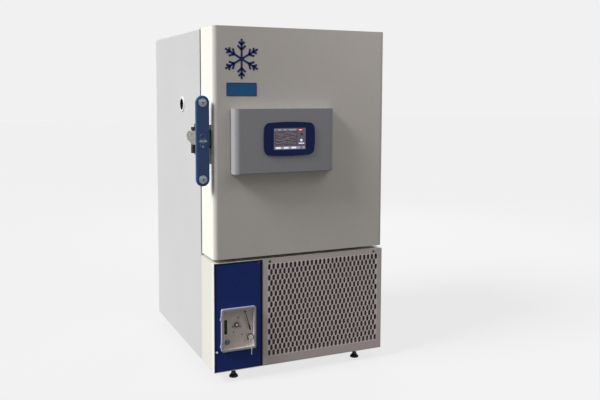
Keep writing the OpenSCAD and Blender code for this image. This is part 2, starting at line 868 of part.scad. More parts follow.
// Grip bar with rounded edges: a straight run and two turned ends
module grip_bar() {
  edge = 6;
  color([0.17, 0.25, 0.42]) place() difference() {
    translate([bar_x, y_front + bar_t / 2, bar_z]) {
      linear_extrude(bar_l - bar_w, center = true) rrect(bar_w, bar_t, edge);
      for (s = [-1, 1]) translate([0, 0, s * (bar_l - bar_w) / 2]) rotate([90, 0, 0])
        rotate_extrude() intersection() {
          rrect(bar_w, bar_t, edge);
          translate([0, -bar_t]) square([bar_w, 2 * bar_t]);
        }
    }
    rod_y(bar_x, bar_z, grip_lock_r + fit, y_front - 1, y_front + grip_lock_d + 0.2);
    for (s = [-1, 1])
      rod_y(bar_x, bar_z + s * (bar_l / 2 - screw_in), 4, y_front - 1, bar_back + 1);
  }
}

// Domed cross-head screws that hold the grip on its strap
module grip_screws() {
  head_r = 13;
  color([0.75, 0.74, 0.70]) place()
    for (s = [-1, 1]) difference() {
      union() {
        rod_y(bar_x, bar_z + s * (bar_l / 2 - screw_in), 4, y_front - 1, bar_back + strap_t);
        translate([bar_x, y_front, bar_z + s * (bar_l / 2 - screw_in)]) rotate([90, 0, 0])
          intersection() {
            cylinder(r = head_r, h = 5);
            translate([0, 0, 5 - 26]) sphere(26);
          }
      }
      for (a = [0, 90])
        translate([bar_x, y_front - 5, bar_z + s * (bar_l / 2 - screw_in)]) rotate([0, a, 0])
          cube([2.4, 5, 12], center = true);
    }
}

module grip_lock() {
  color([0.70, 0.70, 0.68]) place() difference() {
    union() {
      rod_y(bar_x, bar_z, grip_lock_r, y_front - 1, y_front + grip_lock_d);
      rod_y(bar_x, bar_z, grip_lock_r + 2, y_front - 2.5, y_front - 0.1);
    }
    translate([bar_x, y_front - 3, bar_z]) cube([2.2, 9, 9], center = true);
  }
}

// ---- Inner doors ----

module inner_door(i) {
  z0 = z_cavity0 + i * inner_pitch + inner_gap;
  x0 = -mouth_x + inner_side_gap;
  x1 = mouth_x - inner_side_gap;
  bite = 4;
  color([0.88, 0.90, 0.91]) place() difference() {
    union() {
      along_z(z0, z0 + inner_h) translate([(x0 + x1) / 2, inner_front + inner_t / 2])
        rrect(x1 - x0, inner_t, 4);
      translate([inner_pivot_x, inner_pivot_y, z0 - bite])
        cylinder(r = trunnion_r, h = inner_h + 2 * bite);
    }
    along_y(inner_front - 1, inner_front + 3) translate([0, z0 + inner_h / 2])
      rrect(x1 - x0 - 90, inner_h - 80, 12);
    along_y(inner_front - 1, inner_front + 14) translate([x0 + 22, z0 + inner_h / 2])
      stadium(18, 90);
  }
}

module inner_door_low() inner_door(0);
module inner_door_middle() inner_door(1);
module inner_door_high() inner_door(2);

// ---- Base ----

// Tray, side plates and deck, welded to one frame
module base_chassis() {
  x1 = x_side - sheet;
  z1 = z_deck;
  y1 = y_back - back_recess;
  color([0.35, 0.36, 0.38]) place() difference() {
    union() {
      block([-x1, y_front + panel_t + ledge_t, z_tray], [x1, y1, z_floor]);
      block([-x1, y_flange + sheet + 1, z_deck - 2], [x1, y1, z_deck]);
      for (s = [-1, 1])
        block([min(s * x1, s * (x1 - side_plate_t)), y_flange + sheet + 1, z_tray],
              [max(s * x1, s * (x1 - side_plate_t)), y1, z_deck - 1]);
      for (s = [-1, 1])
        block([min(s * (x1 - 1), s * (x1 - 30)), y_flange + sheet + 1, z_tray],
              [max(s * (x1 - 1), s * (x1 - 30)), y_flange + sheet + 31, z_deck - 1]);
      for (s = [-1, 1]) translate([s * foot_x, foot_y, z_tray - 22])
        cylinder(r = stud_r + 8, h = 23);
    }
    for (s = [-1, 1]) translate([s * foot_x, foot_y, z_tray - 30])
      cylinder(r = stud_r + fit, h = 50);
    for (x = [-260, -60, 140]) along_z(z_tray - 1, z_floor + 1)
      translate([x, 40]) rrect(90, 40, 10);
  }
}

// Folded front box of the base: sides, top rail, mullion and the ledges behind the panels
module base_front_surround() {
  y1 = y_flange - 1;
  color([0.88, 0.87, 0.84]) place() {
    along_y(y_front, y1) difference() {
      translate([-x_side, z_under]) square([cab_w, base_h]);
      translate([-x_side + sheet, z_under - 1]) square([cab_w - 2 * sheet, base_h + 1 - sheet]);
    }
    along_y(y_front, y_front + panel_t + 0.15) difference() {
      translate([-x_side, z_under]) square([cab_w, base_h]);
      base_windows(0);
    }
    along_y(y_front + panel_t + 0.05, y_front + panel_t + ledge_t) difference() {
      translate([-x_side, z_under]) square([cab_w, base_h]);
      base_windows(ledge_w);
    }
  }
}

// The two windows of the base front, drawn in by t
module base_windows(t) {
  translate([win_x0 + t, win_z0 + t])
    square([fascia_right - win_x0 - 2 * t, win_z1 - win_z0 - 2 * t]);
  translate([grille_x0 + t, win_z0 + t])
    square([win_x1 - grille_x0 - 2 * t, win_z2 - win_z0 - 2 * t]);
}

module blue_fascia() {
  g = panel_gap;
  color([0.09, 0.14, 0.34]) place() along_y(y_front, y_front + panel_t) difference() {
    translate([win_x0 + g, win_z0 + g])
      square([fascia_right - win_x0 - 2 * g, win_z1 - win_z0 - 2 * g]);
    translate([rec_x, rec_z]) square([tub_w + 2 * rec_wall, tub_h + 2 * rec_wall], center = true);
    for (p = fascia_screws()) translate(p) circle(2.5);
  }
}

function fascia_screws() = [[fascia_right - 20, win_z1 - 11], [win_x0 + 11, win_z0 + 97]];
function grille_screws() = [[grille_x0 + 34, win_z2 - 12], [win_x1 - 46, win_z2 - 12]];

// Perforated panel: rows of upright slots, every other row moved by half a pitch
module grille_panel() {
  g = panel_gap;
  color([0.50, 0.48, 0.46]) place() along_y(y_front, y_front + panel_t) difference() {
    translate([grille_x0 + g, win_z0 + g])
      square([win_x1 - grille_x0 - 2 * g, win_z2 - win_z0 - 2 * g]);
    for (j = [0:slot_rows - 1])
      for (i = [0:slot_cols - 1 - j % 2])
        translate([field_x + (i - (slot_cols - 1 - j % 2) / 2) * slot_pitch_x,
                   field_z + (j - (slot_rows - 1) / 2) * slot_pitch_z])
          stadium(slot_w, slot_l);
    for (p = grille_screws()) translate(p) circle(2.5);
  }
}

module panel_screws() {
  color([0.70, 0.70, 0.68]) place()
    for (p = concat(fascia_screws(), grille_screws())) difference() {
      union() {
        rod_y(p[0], p[1], 2.4, y_front - 0.5, y_front + panel_t);
        translate([p[0], y_front, p[1]]) rotate([90, 0, 0]) intersection() {
          cylinder(r = 6, h = 3);
          translate([0, 0, 3 - 9]) sphere(9);
        }
      }
      for (a = [0, 90]) translate([p[0], y_front - 3, p[1]]) rotate([0, a, 0])
        cube([1.2, 3, 6], center = true);
    }
}

// Pleated pad in a thin frame behind the grille
module air_filter() {
  x0 = grille_x0 + 4;
  x1 = win_x1 - 4;
  z0 = z_floor;
  z1 = win_z1 - 4;
  pleats = floor((x1 - x0 - 20) / 20);
  color([0.16, 0.16, 0.17]) place() {
    along_y(y_filter, y_filter + filter_t) difference() {
      translate([x0, z0]) square([x1 - x0, z1 - z0]);
      translate([x0 + 10, z0 + 10]) square([x1 - x0 - 20, z1 - z0 - 20]);
    }
    along_z(z0 + 10 - eps, z1 - 10 + eps) polygon(concat(
      [for (i = [0:pleats]) [x0 + 10 + i * (x1 - x0 - 20) / pleats,
                             y_filter + (i % 2 == 0 ? 2 : filter_t - 4)]],
      [for (i = [pleats:-1:0]) [x0 + 10 + i * (x1 - x0 - 20) / pleats,
                                y_filter + (i % 2 == 0 ? 4 : filter_t - 2)]]));
  }
}

// Finned block with its rows of tube and the return bends at both ends
module condenser_coil() {
  fins = floor((cond_w - 8) / fin_pitch);
  x0 = cond_x - cond_w / 2;
  x1 = cond_x + cond_w / 2;
  rows = 6;
  pitch = (cond_h - 60) / (rows - 1);
  y_row = cond_y + cond_d / 2;
  color([0.60, 0.60, 0.62]) place() {
    for (x = [x0, x1 - 2])
      block([x, cond_y, z_floor], [x + 2, cond_y + cond_d, z_floor + cond_h]);
    for (i = [1:fins - 1])
      block([x0 + i * fin_pitch, cond_y + 3, z_floor + 8],
            [x0 + i * fin_pitch + 1.2, cond_y + cond_d - 3, z_floor + cond_h - 6]);
    for (k = [0:rows - 1])
      rod_x(y_row, z_floor + 30 + k * pitch, 5, x0 - 6, x1 + 6);
    for (k = [0:rows - 2]) {
      x = k % 2 == 0 ? x1 + 6 : x0 - 6;
      z = z_floor + 30 + k * pitch;
      tube([x, y_row, z], [x, y_row, z + pitch], 5);
      translate([x, y_row, z]) sphere(5);
      translate([x, y_row, z + pitch]) sphere(5);
    }
    for (z = [z_floor, z_floor + cond_h - 4])
      block([x0, cond_y + 8, z], [x1, cond_y + cond_d - 8, z + 4]);
  }
}

// Plate with the fan's ring, three struts and the motor
module fan_shroud() {
  y0 = cond_y + cond_d;
  rim = fan_r + 8;
  color([0.12, 0.12, 0.13]) place() {
    along_y(y0, y0 + 2) difference() {
      translate([cond_x - cond_w / 2, z_floor]) square([cond_w, cond_h]);
      translate([cond_x, fan_z]) circle(rim);
    }
    along_y(y0, y0 + 46) translate([cond_x, fan_z]) difference() {
      circle(rim + 2);
      circle(rim);
    }
    along_y(y0 + 52, y0 + 56) translate([cond_x, fan_z]) {
      difference() {
        circle(rim + 2);
        circle(rim - 8);
      }
      for (a = [30, 150, 270]) rotate(a) translate([30, -7]) square([rim - 30, 14]);
    }
    for (a = [30, 150, 270])
      translate([cond_x, 0, fan_z]) rotate([0, -a, 0])
        block([rim, y0 + 45, -7], [rim + 2, y0 + 53, 7]);
    rod_y(cond_x, fan_z, 38, y0 + 52, y0 + 110);
    rod_y(cond_x, fan_z, 5, y0 + 14.3, y0 + 53);
  }
}

module condenser_fan() {
  y0 = cond_y + cond_d + 12;
  color([0.20, 0.21, 0.22]) place() difference() {
    union() {
      rod_y(cond_x, fan_z, 32, y0, y0 + 26);
      for (k = [0:4]) translate([cond_x, y0 + 13, fan_z]) rotate([0, k * 72, 0])
        rotate([0, 0, 0]) translate([28, 0, 0]) rotate([32, 0, 0])
          translate([0, -1.2, 0]) rotate([90, 0, 0]) translate([0, 0, -2.4])
            linear_extrude(2.4) intersection() {
              translate([0, -26]) square([fan_r - 30, 52]);
              translate([(fan_r - 30) / 2, 0]) rrect(fan_r - 30, 50, 18);
            }
    }
    rod_y(cond_x, fan_z, 5 + fit, y0 + 2, y0 + 30);
  }
}

// Hermetic can on a footed plate with rubber grommets
module compressor(x) {
  zc = z_floor + grommet_h;
  color([0.06, 0.06, 0.07]) place() translate([x, comp_y, zc]) {
    rotate_extrude() difference() {
      union() {
        translate([0, 14]) square([comp_r, comp_h - 54]);
        translate([0, comp_h - 41]) intersection() {
          scale([1, 0.45]) circle(comp_r);
          square([comp_r, comp_r]);
        }
        translate([0, 15]) intersection() {
          scale([1, 0.16]) circle(comp_r);
          translate([0, -comp_r]) square([comp_r, comp_r]);
        }
        translate([0, comp_h / 2]) square([comp_r + 4, 7]);
      }
      translate([-comp_r, -1]) square([comp_r, comp_h * 2]);
    }
    difference() {
      along_z(0, 4) rrect(2 * comp_r + 36, 2 * comp_r + 10, 16);
      for (sx = [-1, 1], sy = [-1, 1])
        translate([sx * comp_r, sy * (comp_r - 8), -1]) cylinder(r = 5, h = 6);
    }
    for (sx = [-1, 1], sy = [-1, 1])
      translate([sx * comp_r, sy * (comp_r - 8), -grommet_h]) difference() {
        cylinder(r = 11, h = grommet_h);
        translate([0, 0, -1]) cylinder(r = 4, h = grommet_h + 2);
      }
    along_z(2, 20) circle(comp_r - 20);
    block([-30, -comp_r - 26, 60], [30, -comp_r + 20, 130]);
  }
}

module compressor_left() compressor(-comp_x);
module compressor_right() compressor(comp_x);

// Straight round tube between two points
module tube(p, q, r) {
  d = q - p;
  l = norm(d);
  translate(p) rotate([0, acos(d[2] / l), atan2(d[1], d[0])]) cylinder(r = r, h = l);
}

// Tube along a list of points with a ball at each turn
module run(pts, r) {
  for (i = [0:len(pts) - 2]) tube(pts[i], pts[i + 1], r);
  for (i = [1:len(pts) - 2]) translate(pts[i]) sphere(r);
}

module refrigerant_lines() {
  r = 5;
  z_can = z_floor + grommet_h + comp_h;
  x_in = cond_x + cond_w / 2 - 8;
  y_in = cond_y + cond_d / 2;
  y_up = y_back - 50;
  color([0.72, 0.45, 0.28]) place() {
    for (s = [-1, 1])
      run([[s * comp_x, comp_y, z_can + 0.55], [s * comp_x, comp_y, z_can + 60],
           [s * comp_x, y_up, z_can + 60], [s * comp_x, y_up, z_deck - 2.2]], r);
    run([[comp_x + 50, comp_y, z_can - 4.75], [comp_x + 50, comp_y, z_can + 165],
         [x_in, comp_y, z_can + 165], [x_in, y_in, z_can + 165],
         [x_in, y_in, z_floor + cond_h + 0.2]], r);
    tube([-comp_x, y_up, z_can + 80], [-comp_x, y_up, z_can + 200], 16);
  }
}

// Shallow steel case for relays on the chassis's left side plate
module electrical_box() {
  x0 = -x_side + sheet + side_plate_t;
  z0 = z_floor + 150;
  color([0.75, 0.76, 0.77]) place() {
    difference() {
      block([x0, -60, z0], [x0 + 78, 180, z0 + 220]);
      block([x0 + 2, -58, z0 + 2], [x0 + 79, 178, z0 + 218]);
    }
    difference() {
      block([x0 + 78, -63, z0 - 3], [x0 + 80, 183, z0 + 223]);
      for (k = [0:6]) along_x(x0 + 77, x0 + 81) translate([60, z0 + 40 + k * 22])
        rotate(90) stadium(6, 120);
    }
    block([x0 + 2, -30, z0 + 30], [x0 + 40, 60, z0 + 120]);
    block([x0 + 2, 80, z0 + 30], [x0 + 50, 150, z0 + 90]);
  }
}

module rear_grille() {
  y0 = y_back - back_recess;
  w = cab_w - 2 * sheet - 1;
  z1 = z_deck - 1;
  color([0.80, 0.80, 0.81]) place() along_y(y0, y0 + 2) difference() {
    translate([-w / 2, z_under + 4]) square([w, z1 - z_under - 4]);
    for (x = [-w / 4 + 20, w / 4 - 20], k = [0:11])
      translate([x, z_under + 170 + k * 26]) rotate(90) stadium(9, w / 2 - 110);
    translate([inlet_x(), inlet_z()]) square([52, 36], center = true);
  }
}

function inlet_x() = x_side - 120;
function inlet_z() = z_under + 80;

// Three-pole appliance inlet with a shrouded recess
module power_inlet() {
  y0 = y_back - back_recess;
  color([0.05, 0.05, 0.06]) place() translate([inlet_x(), y0, inlet_z()]) {
    along_y(2, 5) difference() {
      rrect(70, 50, 4);
      square([30, 24], center = true);
    }
    along_y(-22, 2) difference() {
      square([51.4, 35.4], center = true);
      square([30, 24], center = true);
    }
    along_y(-24, -22 + eps) square([51.4, 35.4], center = true);
    for (p = [[-8, -3], [0, 4], [8, -3]]) translate([p[0], 0, p[1]])
      block([-1, -22 - eps, -3.5], [1, -6, 3.5]);
  }
}

// ---- Recorder ----

module recorder_case() {
  color([0.72, 0.72, 0.76]) place() translate([rec_x, 0, rec_z]) difference() {
    union() {
      along_y(y_front - rec_flange_t, y_front) rrect(rec_w, rec_h, 8);
      along_y(y_front - eps, y_front + rec_depth)
        square([tub_w + 2 * rec_wall - 0.4, tub_h + 2 * rec_wall - 0.4], center = true);
      for (z = rec_hinge_z) {
        hx = rec_hinge_x - rec_x;
        along_z(z - 12, z - 0.2) {
          translate([hx, rec_hinge_y]) circle(3);
          translate([hx - 3, rec_hinge_y]) square([4.3, y_front - rec_hinge_y]);
          translate([hx - 3, y_front - rec_flange_t]) square([8, rec_flange_t]);
        }
        translate([hx, rec_hinge_y, z - 1]) cylinder(r = rec_pin_r, h = 20);
      }
    }
    along_y(y_front - rec_flange_t - 1, y_front + rec_depth - rec_wall)
      square([tub_w, tub_h], center = true);
  }
}

// Plate with the hub's and the pen's spindles, a tall slot, three holes and a knob
module chart_plate() {
  color([0.74, 0.71, 0.66]) place() {
    along_y(plate_y, plate_y + 2) difference() {
      translate([rec_x, rec_z]) square([tub_w - 0.4, tub_h - 0.4], center = true);
      translate([rec_x - tub_w / 2 + 17, rec_z + 10]) rrect(15, 70, 1.5);
      for (p = [[10, 34], [-15, -35], [29, -52]])
        translate([chart_x + p[0], chart_z + p[1]]) circle(3.5);
      translate([rec_x - tub_w / 2 + 16, rec_z + 79]) circle(2.5);
      translate([rec_x - tub_w / 2 + 17, rec_z - 38]) circle(2.5);
    }
    rod_y(chart_x, chart_z, 3, plate_y - 6, plate_y + eps);
    rod_y(pen_x, pen_z, 1.5, plate_y - 7, plate_y + eps);
    rod_y(rec_x - tub_w / 2 + 25, rec_z - 62, 9.5, plate_y - 3, plate_y + eps);
    rod_y(rec_x - tub_w / 2 + 25, rec_z - 62, 5.5, plate_y - 5, plate_y - 2);
    for (sx = [-1, 1], sz = [-1, 1])
      rod_y(rec_x + sx * (tub_w / 2 - 6), rec_z + sz * (tub_h / 2 - 6), 4,
            plate_y + 2 - eps, y_front + rec_depth - rec_wall);
  }
}

// Hub that carries a paper chart: two rings, a cap and two spring clips
module chart_hub() {
  color([0.62, 0.60, 0.55]) place() difference() {
    union() {
      rod_y(chart_x, chart_z, hub_ring_r, plate_y - 2, plate_y - 0.3);
      rod_y(chart_x, chart_z, hub_ring_r - 4, plate_y - 5, plate_y - 1);
      rod_y(chart_x, chart_z, 4.5, plate_y - 6.8, plate_y - 4);
      for (a = [28, 152]) translate([chart_x, 0, chart_z]) rotate([0, a, 0])
        block([0, plate_y - 1.5, -1.2], [clip_l, plate_y - 0.3, 1.2]);
    }
    rod_y(chart_x, chart_z, 3 + fit, plate_y - 6.2, plate_y + 1);
  }
}

module pen_arm() {
  len = 94;
  nib = 28;
  color([0.10, 0.10, 0.12]) place() translate([pen_x, 0, pen_z]) difference() {
    union() {
      rod_y(0, 0, 4, plate_y - 6.5, plate_y - 0.3);
      rotate([0, -16, 0]) {
        block([-1.5, plate_y - 6.5, -len], [1.5, plate_y - 5.3, 0]);
        block([-2.8, plate_y - 7.5, -len], [2.8, plate_y - 4, nib - len]);
        block([-1, plate_y - 6.5, -len], [1, plate_y - 1.6, 5 - len]);
      }
    }
    rod_y(0, 0, 1.5 + fit, plate_y - 9, plate_y + 1);
  }
}

module recorder_door() {
  y1 = rec_y0 + rec_door_t;
  hx = rec_hinge_x - rec_x;
  color([0.72, 0.72, 0.76]) place() translate([rec_x, 0, rec_z]) difference() {
    union() {
      along_y(rec_y0, y1) difference() {
        rrect(rec_w, rec_h, 8);
        rrect(tub_w, tub_h, 3);
      }
      for (z = rec_hinge_z) along_z(z, z + 18) {
        translate([hx, rec_hinge_y]) circle(3);
        translate([hx, rec_hinge_y - 3]) square([4, 5]);
      }
    }
    along_y(rec_y0 + 3, y1 + 1) square([tub_w + 2 * window_in, tub_h + 2 * window_in],
                                       center = true);
    for (z = rec_hinge_z) {
      translate([hx, rec_hinge_y, z - 1]) cylinder(r = rec_pin_r + fit, h = 20);
      translate([hx, rec_hinge_y, z - 12.3]) cylinder(r = 3.4, h = 12.3);
    }
  }
}

module recorder_window() {
  y0 = rec_y0 + 3;
  color([0.80, 0.84, 0.88, 0.3]) place() along_y(y0, y0 + window_t) difference() {
    translate([rec_x, rec_z])
      square([tub_w + 2 * window_in - 0.3, tub_h + 2 * window_in - 0.3], center = true);
    translate([rec_lock_x, rec_lock_z]) circle(rec_lock_r + fit);
  }
}

// Lock barrel in the window, with its key, the split ring and a second key hanging on it
module recorder_lock() {
  y0 = rec_y0 + 3;
  yk = y0 - 22;
  color([0.80, 0.79, 0.75]) place() {
    difference() {
      union() {
        rod_y(rec_lock_x, rec_lock_z, rec_lock_r, y0 - 2, y0 + window_t + 5);
        rod_y(rec_lock_x, rec_lock_z, rec_lock_r + 3, y0 - 3, y0 - 0.1);
      }
      translate([rec_lock_x, y0 - 3, rec_lock_z]) cube([2.1, 2, 7.1], center = true);
    }
    translate([rec_lock_x, 0, rec_lock_z]) {
      block([-1, y0 - 12, -3], [1, y0 - 1.8, 3]);
      translate([0, yk + 4, 0]) rotate([0, 90, 0]) difference() {
        cylinder(r = 11, h = 2, center = true);
        translate([6, 0, 0]) cylinder(r = 2.6, h = 4, center = true);
      }
      translate([0, yk + 4, -16.2]) rotate([90, 0, 0])
        rotate_extrude() translate([12, 0]) circle(0.9, $fn = 24);
      translate([0, yk + 4, -35.3]) difference() {
        union() {
          along_x(-1, 1) circle(9);
          block([-1, -2.6, -46], [1, 2.6, -7]);
        }
        along_x(-2, 2) translate([0, 5.5]) circle(2.4);
      }
    }
  }
}

// ---- Casters ----

module caster_plate(x, y) {
  translate([x, y, z_race]) difference() {
    along_z(0, caster_plate_t) rrect(plate_w, plate_w, 8);
    for (sx = [-1, 1], sy = [-1, 1])
      translate([sx * (plate_w / 2 - 10), sy * (plate_w / 2 - 10), -1]) cylinder(r = 4, h = 9);
  }
}

// Two legs and a crown, with the wheel t behind the swivel axis and lifted by up
module fork_shape(t, up) {
  gap = wheel_w / 2 + leg_gap;
  za = wheel_r + up;
  translate([0, 0, z_crown - crown_t]) along_z(0, crown_t) {
    circle(race_r + 5);
    translate([-gap - leg_t, 0]) square([2 * (gap + leg_t), t + 14]);
  }
  for (s = [-1, 1]) along_x(s > 0 ? gap : -gap - leg_t, s > 0 ? gap + leg_t : -gap) {
    translate([t, za]) circle(11);
    polygon([[t - 11, za], [t + 11, za], [t + 14, z_crown - 1], [-14, z_crown - 1]]);
  }
  rod_x(t, za, axle_r, -gap - leg_t - 3, gap + leg_t + 3);
}

// Four plates, the swivel posts in front and the fixed forks behind
module caster_mounts() {
  color([0.62, 0.63, 0.65]) place() {
    for (s = [-1, 1]) {
      caster_plate(s * caster_x, caster_y0);
      translate([s * caster_x, caster_y0, z_crown - crown_t - 3]) {
        cylinder(r = 6, h = race_h + crown_t + 4);
        cylinder(r = 10, h = 3 - hub_gap);
      }
      caster_plate(s * caster_x, caster_y1);
      translate([s * caster_x, caster_y1, 0]) {
        translate([0, 0, z_crown - 1]) cylinder(r = race_r, h = race_h + 2);
        fork_shape(0, 0);
      }
    }
  }
}

module caster_fork(s) {
  color([0.62, 0.63, 0.65]) place() translate([s * caster_x, caster_y0, 0]) difference() {
    union() {
      rotate([0, 0, 180]) fork_shape(trail, front_lift);
      translate([0, 0, z_crown - 1]) cylinder(r = race_r, h = race_h + 1 - hub_gap);
    }
    translate([0, 0, z_crown - crown_t - 1]) cylinder(r = 6 + fit, h = 40);
  }
}

module caster_fork_left() caster_fork(-1);
module caster_fork_right() caster_fork(1);

// Levelling foot: pad, hexagon and the stud that runs up through the chassis
module levelling_foot(s) {
  color([0.05, 0.05, 0.06]) place() translate([s * foot_x, foot_y, 0]) {
    rotate_extrude() polygon([[0, 0], [foot_r, 0], [foot_r, 5], [foot_r - 9, 16], [0, 16]]);
    translate([0, 0, 16 - eps]) cylinder(r = stud_r + 6, h = 9, $fn = 6);
    translate([0, 0, 16]) cylinder(r = stud_r, h = z_floor + 16);
  }
}

module levelling_foot_left() levelling_foot(-1);
module levelling_foot_right() levelling_foot(1);

// Tyre with rounded shoulders on a ribbed hub
module wheel(x, y, up) {
  color([0.05, 0.05, 0.06]) place() translate([x, y, wheel_r + up]) rotate([0, 90, 0])
    rotate_extrude() difference() {
      union() {
        translate([axle_r + fit, -wheel_w / 2 + 3]) square([wheel_r - axle_r - fit - 3,
                                                            wheel_w - 6]);
        translate([axle_r + fit, -wheel_w / 2]) square([7, wheel_w]);
        translate([wheel_r - 10, -wheel_w / 2 + 1]) square([6, wheel_w - 2]);
        translate([wheel_r - 8, 0]) intersection() {
          square([16, wheel_w - 2], center = true);
          translate([-20, 0]) circle(28);
        }
      }
      for (s = [-1, 1]) translate([(axle_r + wheel_r) / 2, s * wheel_w / 2]) circle(6);
    }
}

module wheel_front_left() wheel(-caster_x, caster_y0 - trail, front_lift);
module wheel_front_right() wheel(caster_x, caster_y0 - trail, front_lift);
module wheel_rear_left() wheel(-caster_x, caster_y1, 0);
module wheel_rear_right() wheel(caster_x, caster_y1, 0);

// ---- Output ----

cabinet_wrap();
back_panel();
foam_insulation();
inner_liner();
breaker_frame();
evaporator_tube();
shelf_supports();
shelves();
inner_hinge_brackets();
port_sleeve();
port_ring();
latch_keeper();
cabinet_hinge_leaves();
base_chassis();
base_front_surround();
blue_fascia();
grille_panel();
panel_screws();
air_filter();
condenser_coil();
fan_shroud();
condenser_fan();
compressor_left();
compressor_right();
refrigerant_lines();
electrical_box();
rear_grille();
power_inlet();
caster_mounts();
recorder_case();
chart_plate();
chart_hub();
pen_arm();
recorder_door();
recorder_window();
recorder_lock();
door_skin();
door_foam();
door_liner();
door_gasket();
door_hinge_leaves();
control_housing();
control_bezel();
touch_screen();
latch_bracket();
latch_lever();
grip_bar();
grip_screws();
grip_lock();
inner_door_low();
inner_door_middle();
inner_door_high();
caster_fork_left();
caster_fork_right();
levelling_foot_left();
levelling_foot_right();
wheel_front_left();
wheel_front_right();
wheel_rear_left();
wheel_rear_right();
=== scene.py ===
"""Looks for an upright ultra-low temperature freezer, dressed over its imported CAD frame."""

import json
import logging
import math
from dataclasses import dataclass
from enum import Enum
from typing import Protocol, Sequence

import bmesh
import bpy
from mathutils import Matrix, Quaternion, Vector

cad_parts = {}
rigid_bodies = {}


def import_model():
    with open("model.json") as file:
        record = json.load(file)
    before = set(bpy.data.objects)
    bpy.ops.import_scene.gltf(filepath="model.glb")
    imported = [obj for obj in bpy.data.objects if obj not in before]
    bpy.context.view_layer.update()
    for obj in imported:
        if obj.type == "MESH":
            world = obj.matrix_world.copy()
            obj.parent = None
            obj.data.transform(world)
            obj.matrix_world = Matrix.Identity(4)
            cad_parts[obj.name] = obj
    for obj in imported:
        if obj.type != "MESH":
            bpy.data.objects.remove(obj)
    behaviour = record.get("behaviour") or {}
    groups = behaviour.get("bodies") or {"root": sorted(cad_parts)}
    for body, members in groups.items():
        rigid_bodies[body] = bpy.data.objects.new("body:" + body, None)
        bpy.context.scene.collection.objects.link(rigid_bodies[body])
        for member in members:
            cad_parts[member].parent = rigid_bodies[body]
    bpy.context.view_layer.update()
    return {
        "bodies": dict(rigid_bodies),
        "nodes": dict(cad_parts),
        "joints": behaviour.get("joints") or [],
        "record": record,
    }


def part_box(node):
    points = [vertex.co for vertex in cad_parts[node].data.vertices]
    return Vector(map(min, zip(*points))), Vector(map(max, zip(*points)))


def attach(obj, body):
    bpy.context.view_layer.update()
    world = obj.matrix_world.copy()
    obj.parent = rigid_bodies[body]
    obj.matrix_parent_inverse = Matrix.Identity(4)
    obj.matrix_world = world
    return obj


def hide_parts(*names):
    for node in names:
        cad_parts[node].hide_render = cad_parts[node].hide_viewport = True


LOG = logging.getLogger("freezer")

Colour = tuple[float, float, float]
Point = tuple[float, float, float]
Spot = tuple[float, float]
Patch = tuple[float, float, float, float]
Outline = list[Spot]
Feed = float | tuple[float, ...] | bpy.types.NodeSocket


# ---------------------------------------------------------------- finishes


class Wiring:
    """Adds nodes to the tree of one material or world, and joins them."""

    def __init__(self, tree: bpy.types.NodeTree) -> None:
        """Keeps the tree."""
        self.tree = tree

    def feed(self, node: bpy.types.Node, feeds: dict[str | int, Feed]) -> None:
        """Sets a node's inputs.

        Args:
            node: the node.
            feeds: for each input, by name or place, its value or the socket that drives it.
        """
        for key, source in feeds.items():
            if isinstance(source, bpy.types.NodeSocket):
                self.tree.links.new(source, node.inputs[key])
            else:
                node.inputs[key].default_value = source

    def add(self, kind: str, feeds: dict[str | int, Feed], operation: str = "") -> bpy.types.Node:
        """Adds a node.

        Args:
            kind: its type, without ShaderNode in front.
            feeds: what its inputs take, as in feed.
            operation: what it works out, for a maths node.

        Returns:
            The node.
        """
        node = self.tree.nodes.new(f"ShaderNode{kind}")
        if operation:
            node.operation = operation
        self.feed(node, feeds)
        return node

    def noise(
        self, where: bpy.types.NodeSocket, scale: float, detail: float = 6.0, rough: float = 0.55
    ) -> bpy.types.NodeSocket:
        """Adds a noise texture.

        Args:
            where: the coordinates.
            scale: how fine it is.
            detail: how many finer layers it carries.
            rough: how strong the finer layers are.

        Returns:
            Its level, about a half in the mean.
        """
        feeds = {"Vector": where, "Scale": scale, "Detail": detail, "Roughness": rough}
        return self.add("TexNoise", feeds).outputs["Fac"]

    def bevel(self, radius: float) -> bpy.types.NodeSocket:
        """Adds a bevel, which softens edges in the shading alone.

        Args:
            radius: how far the softening reaches.

        Returns:
            The softened normal.
        """
        node = self.add("Bevel", {"Radius": radius})
        node.samples = 4
        return node.outputs[0]


def grey(level: float) -> Colour:
    """A neutral colour."""
    return (level, level, level)


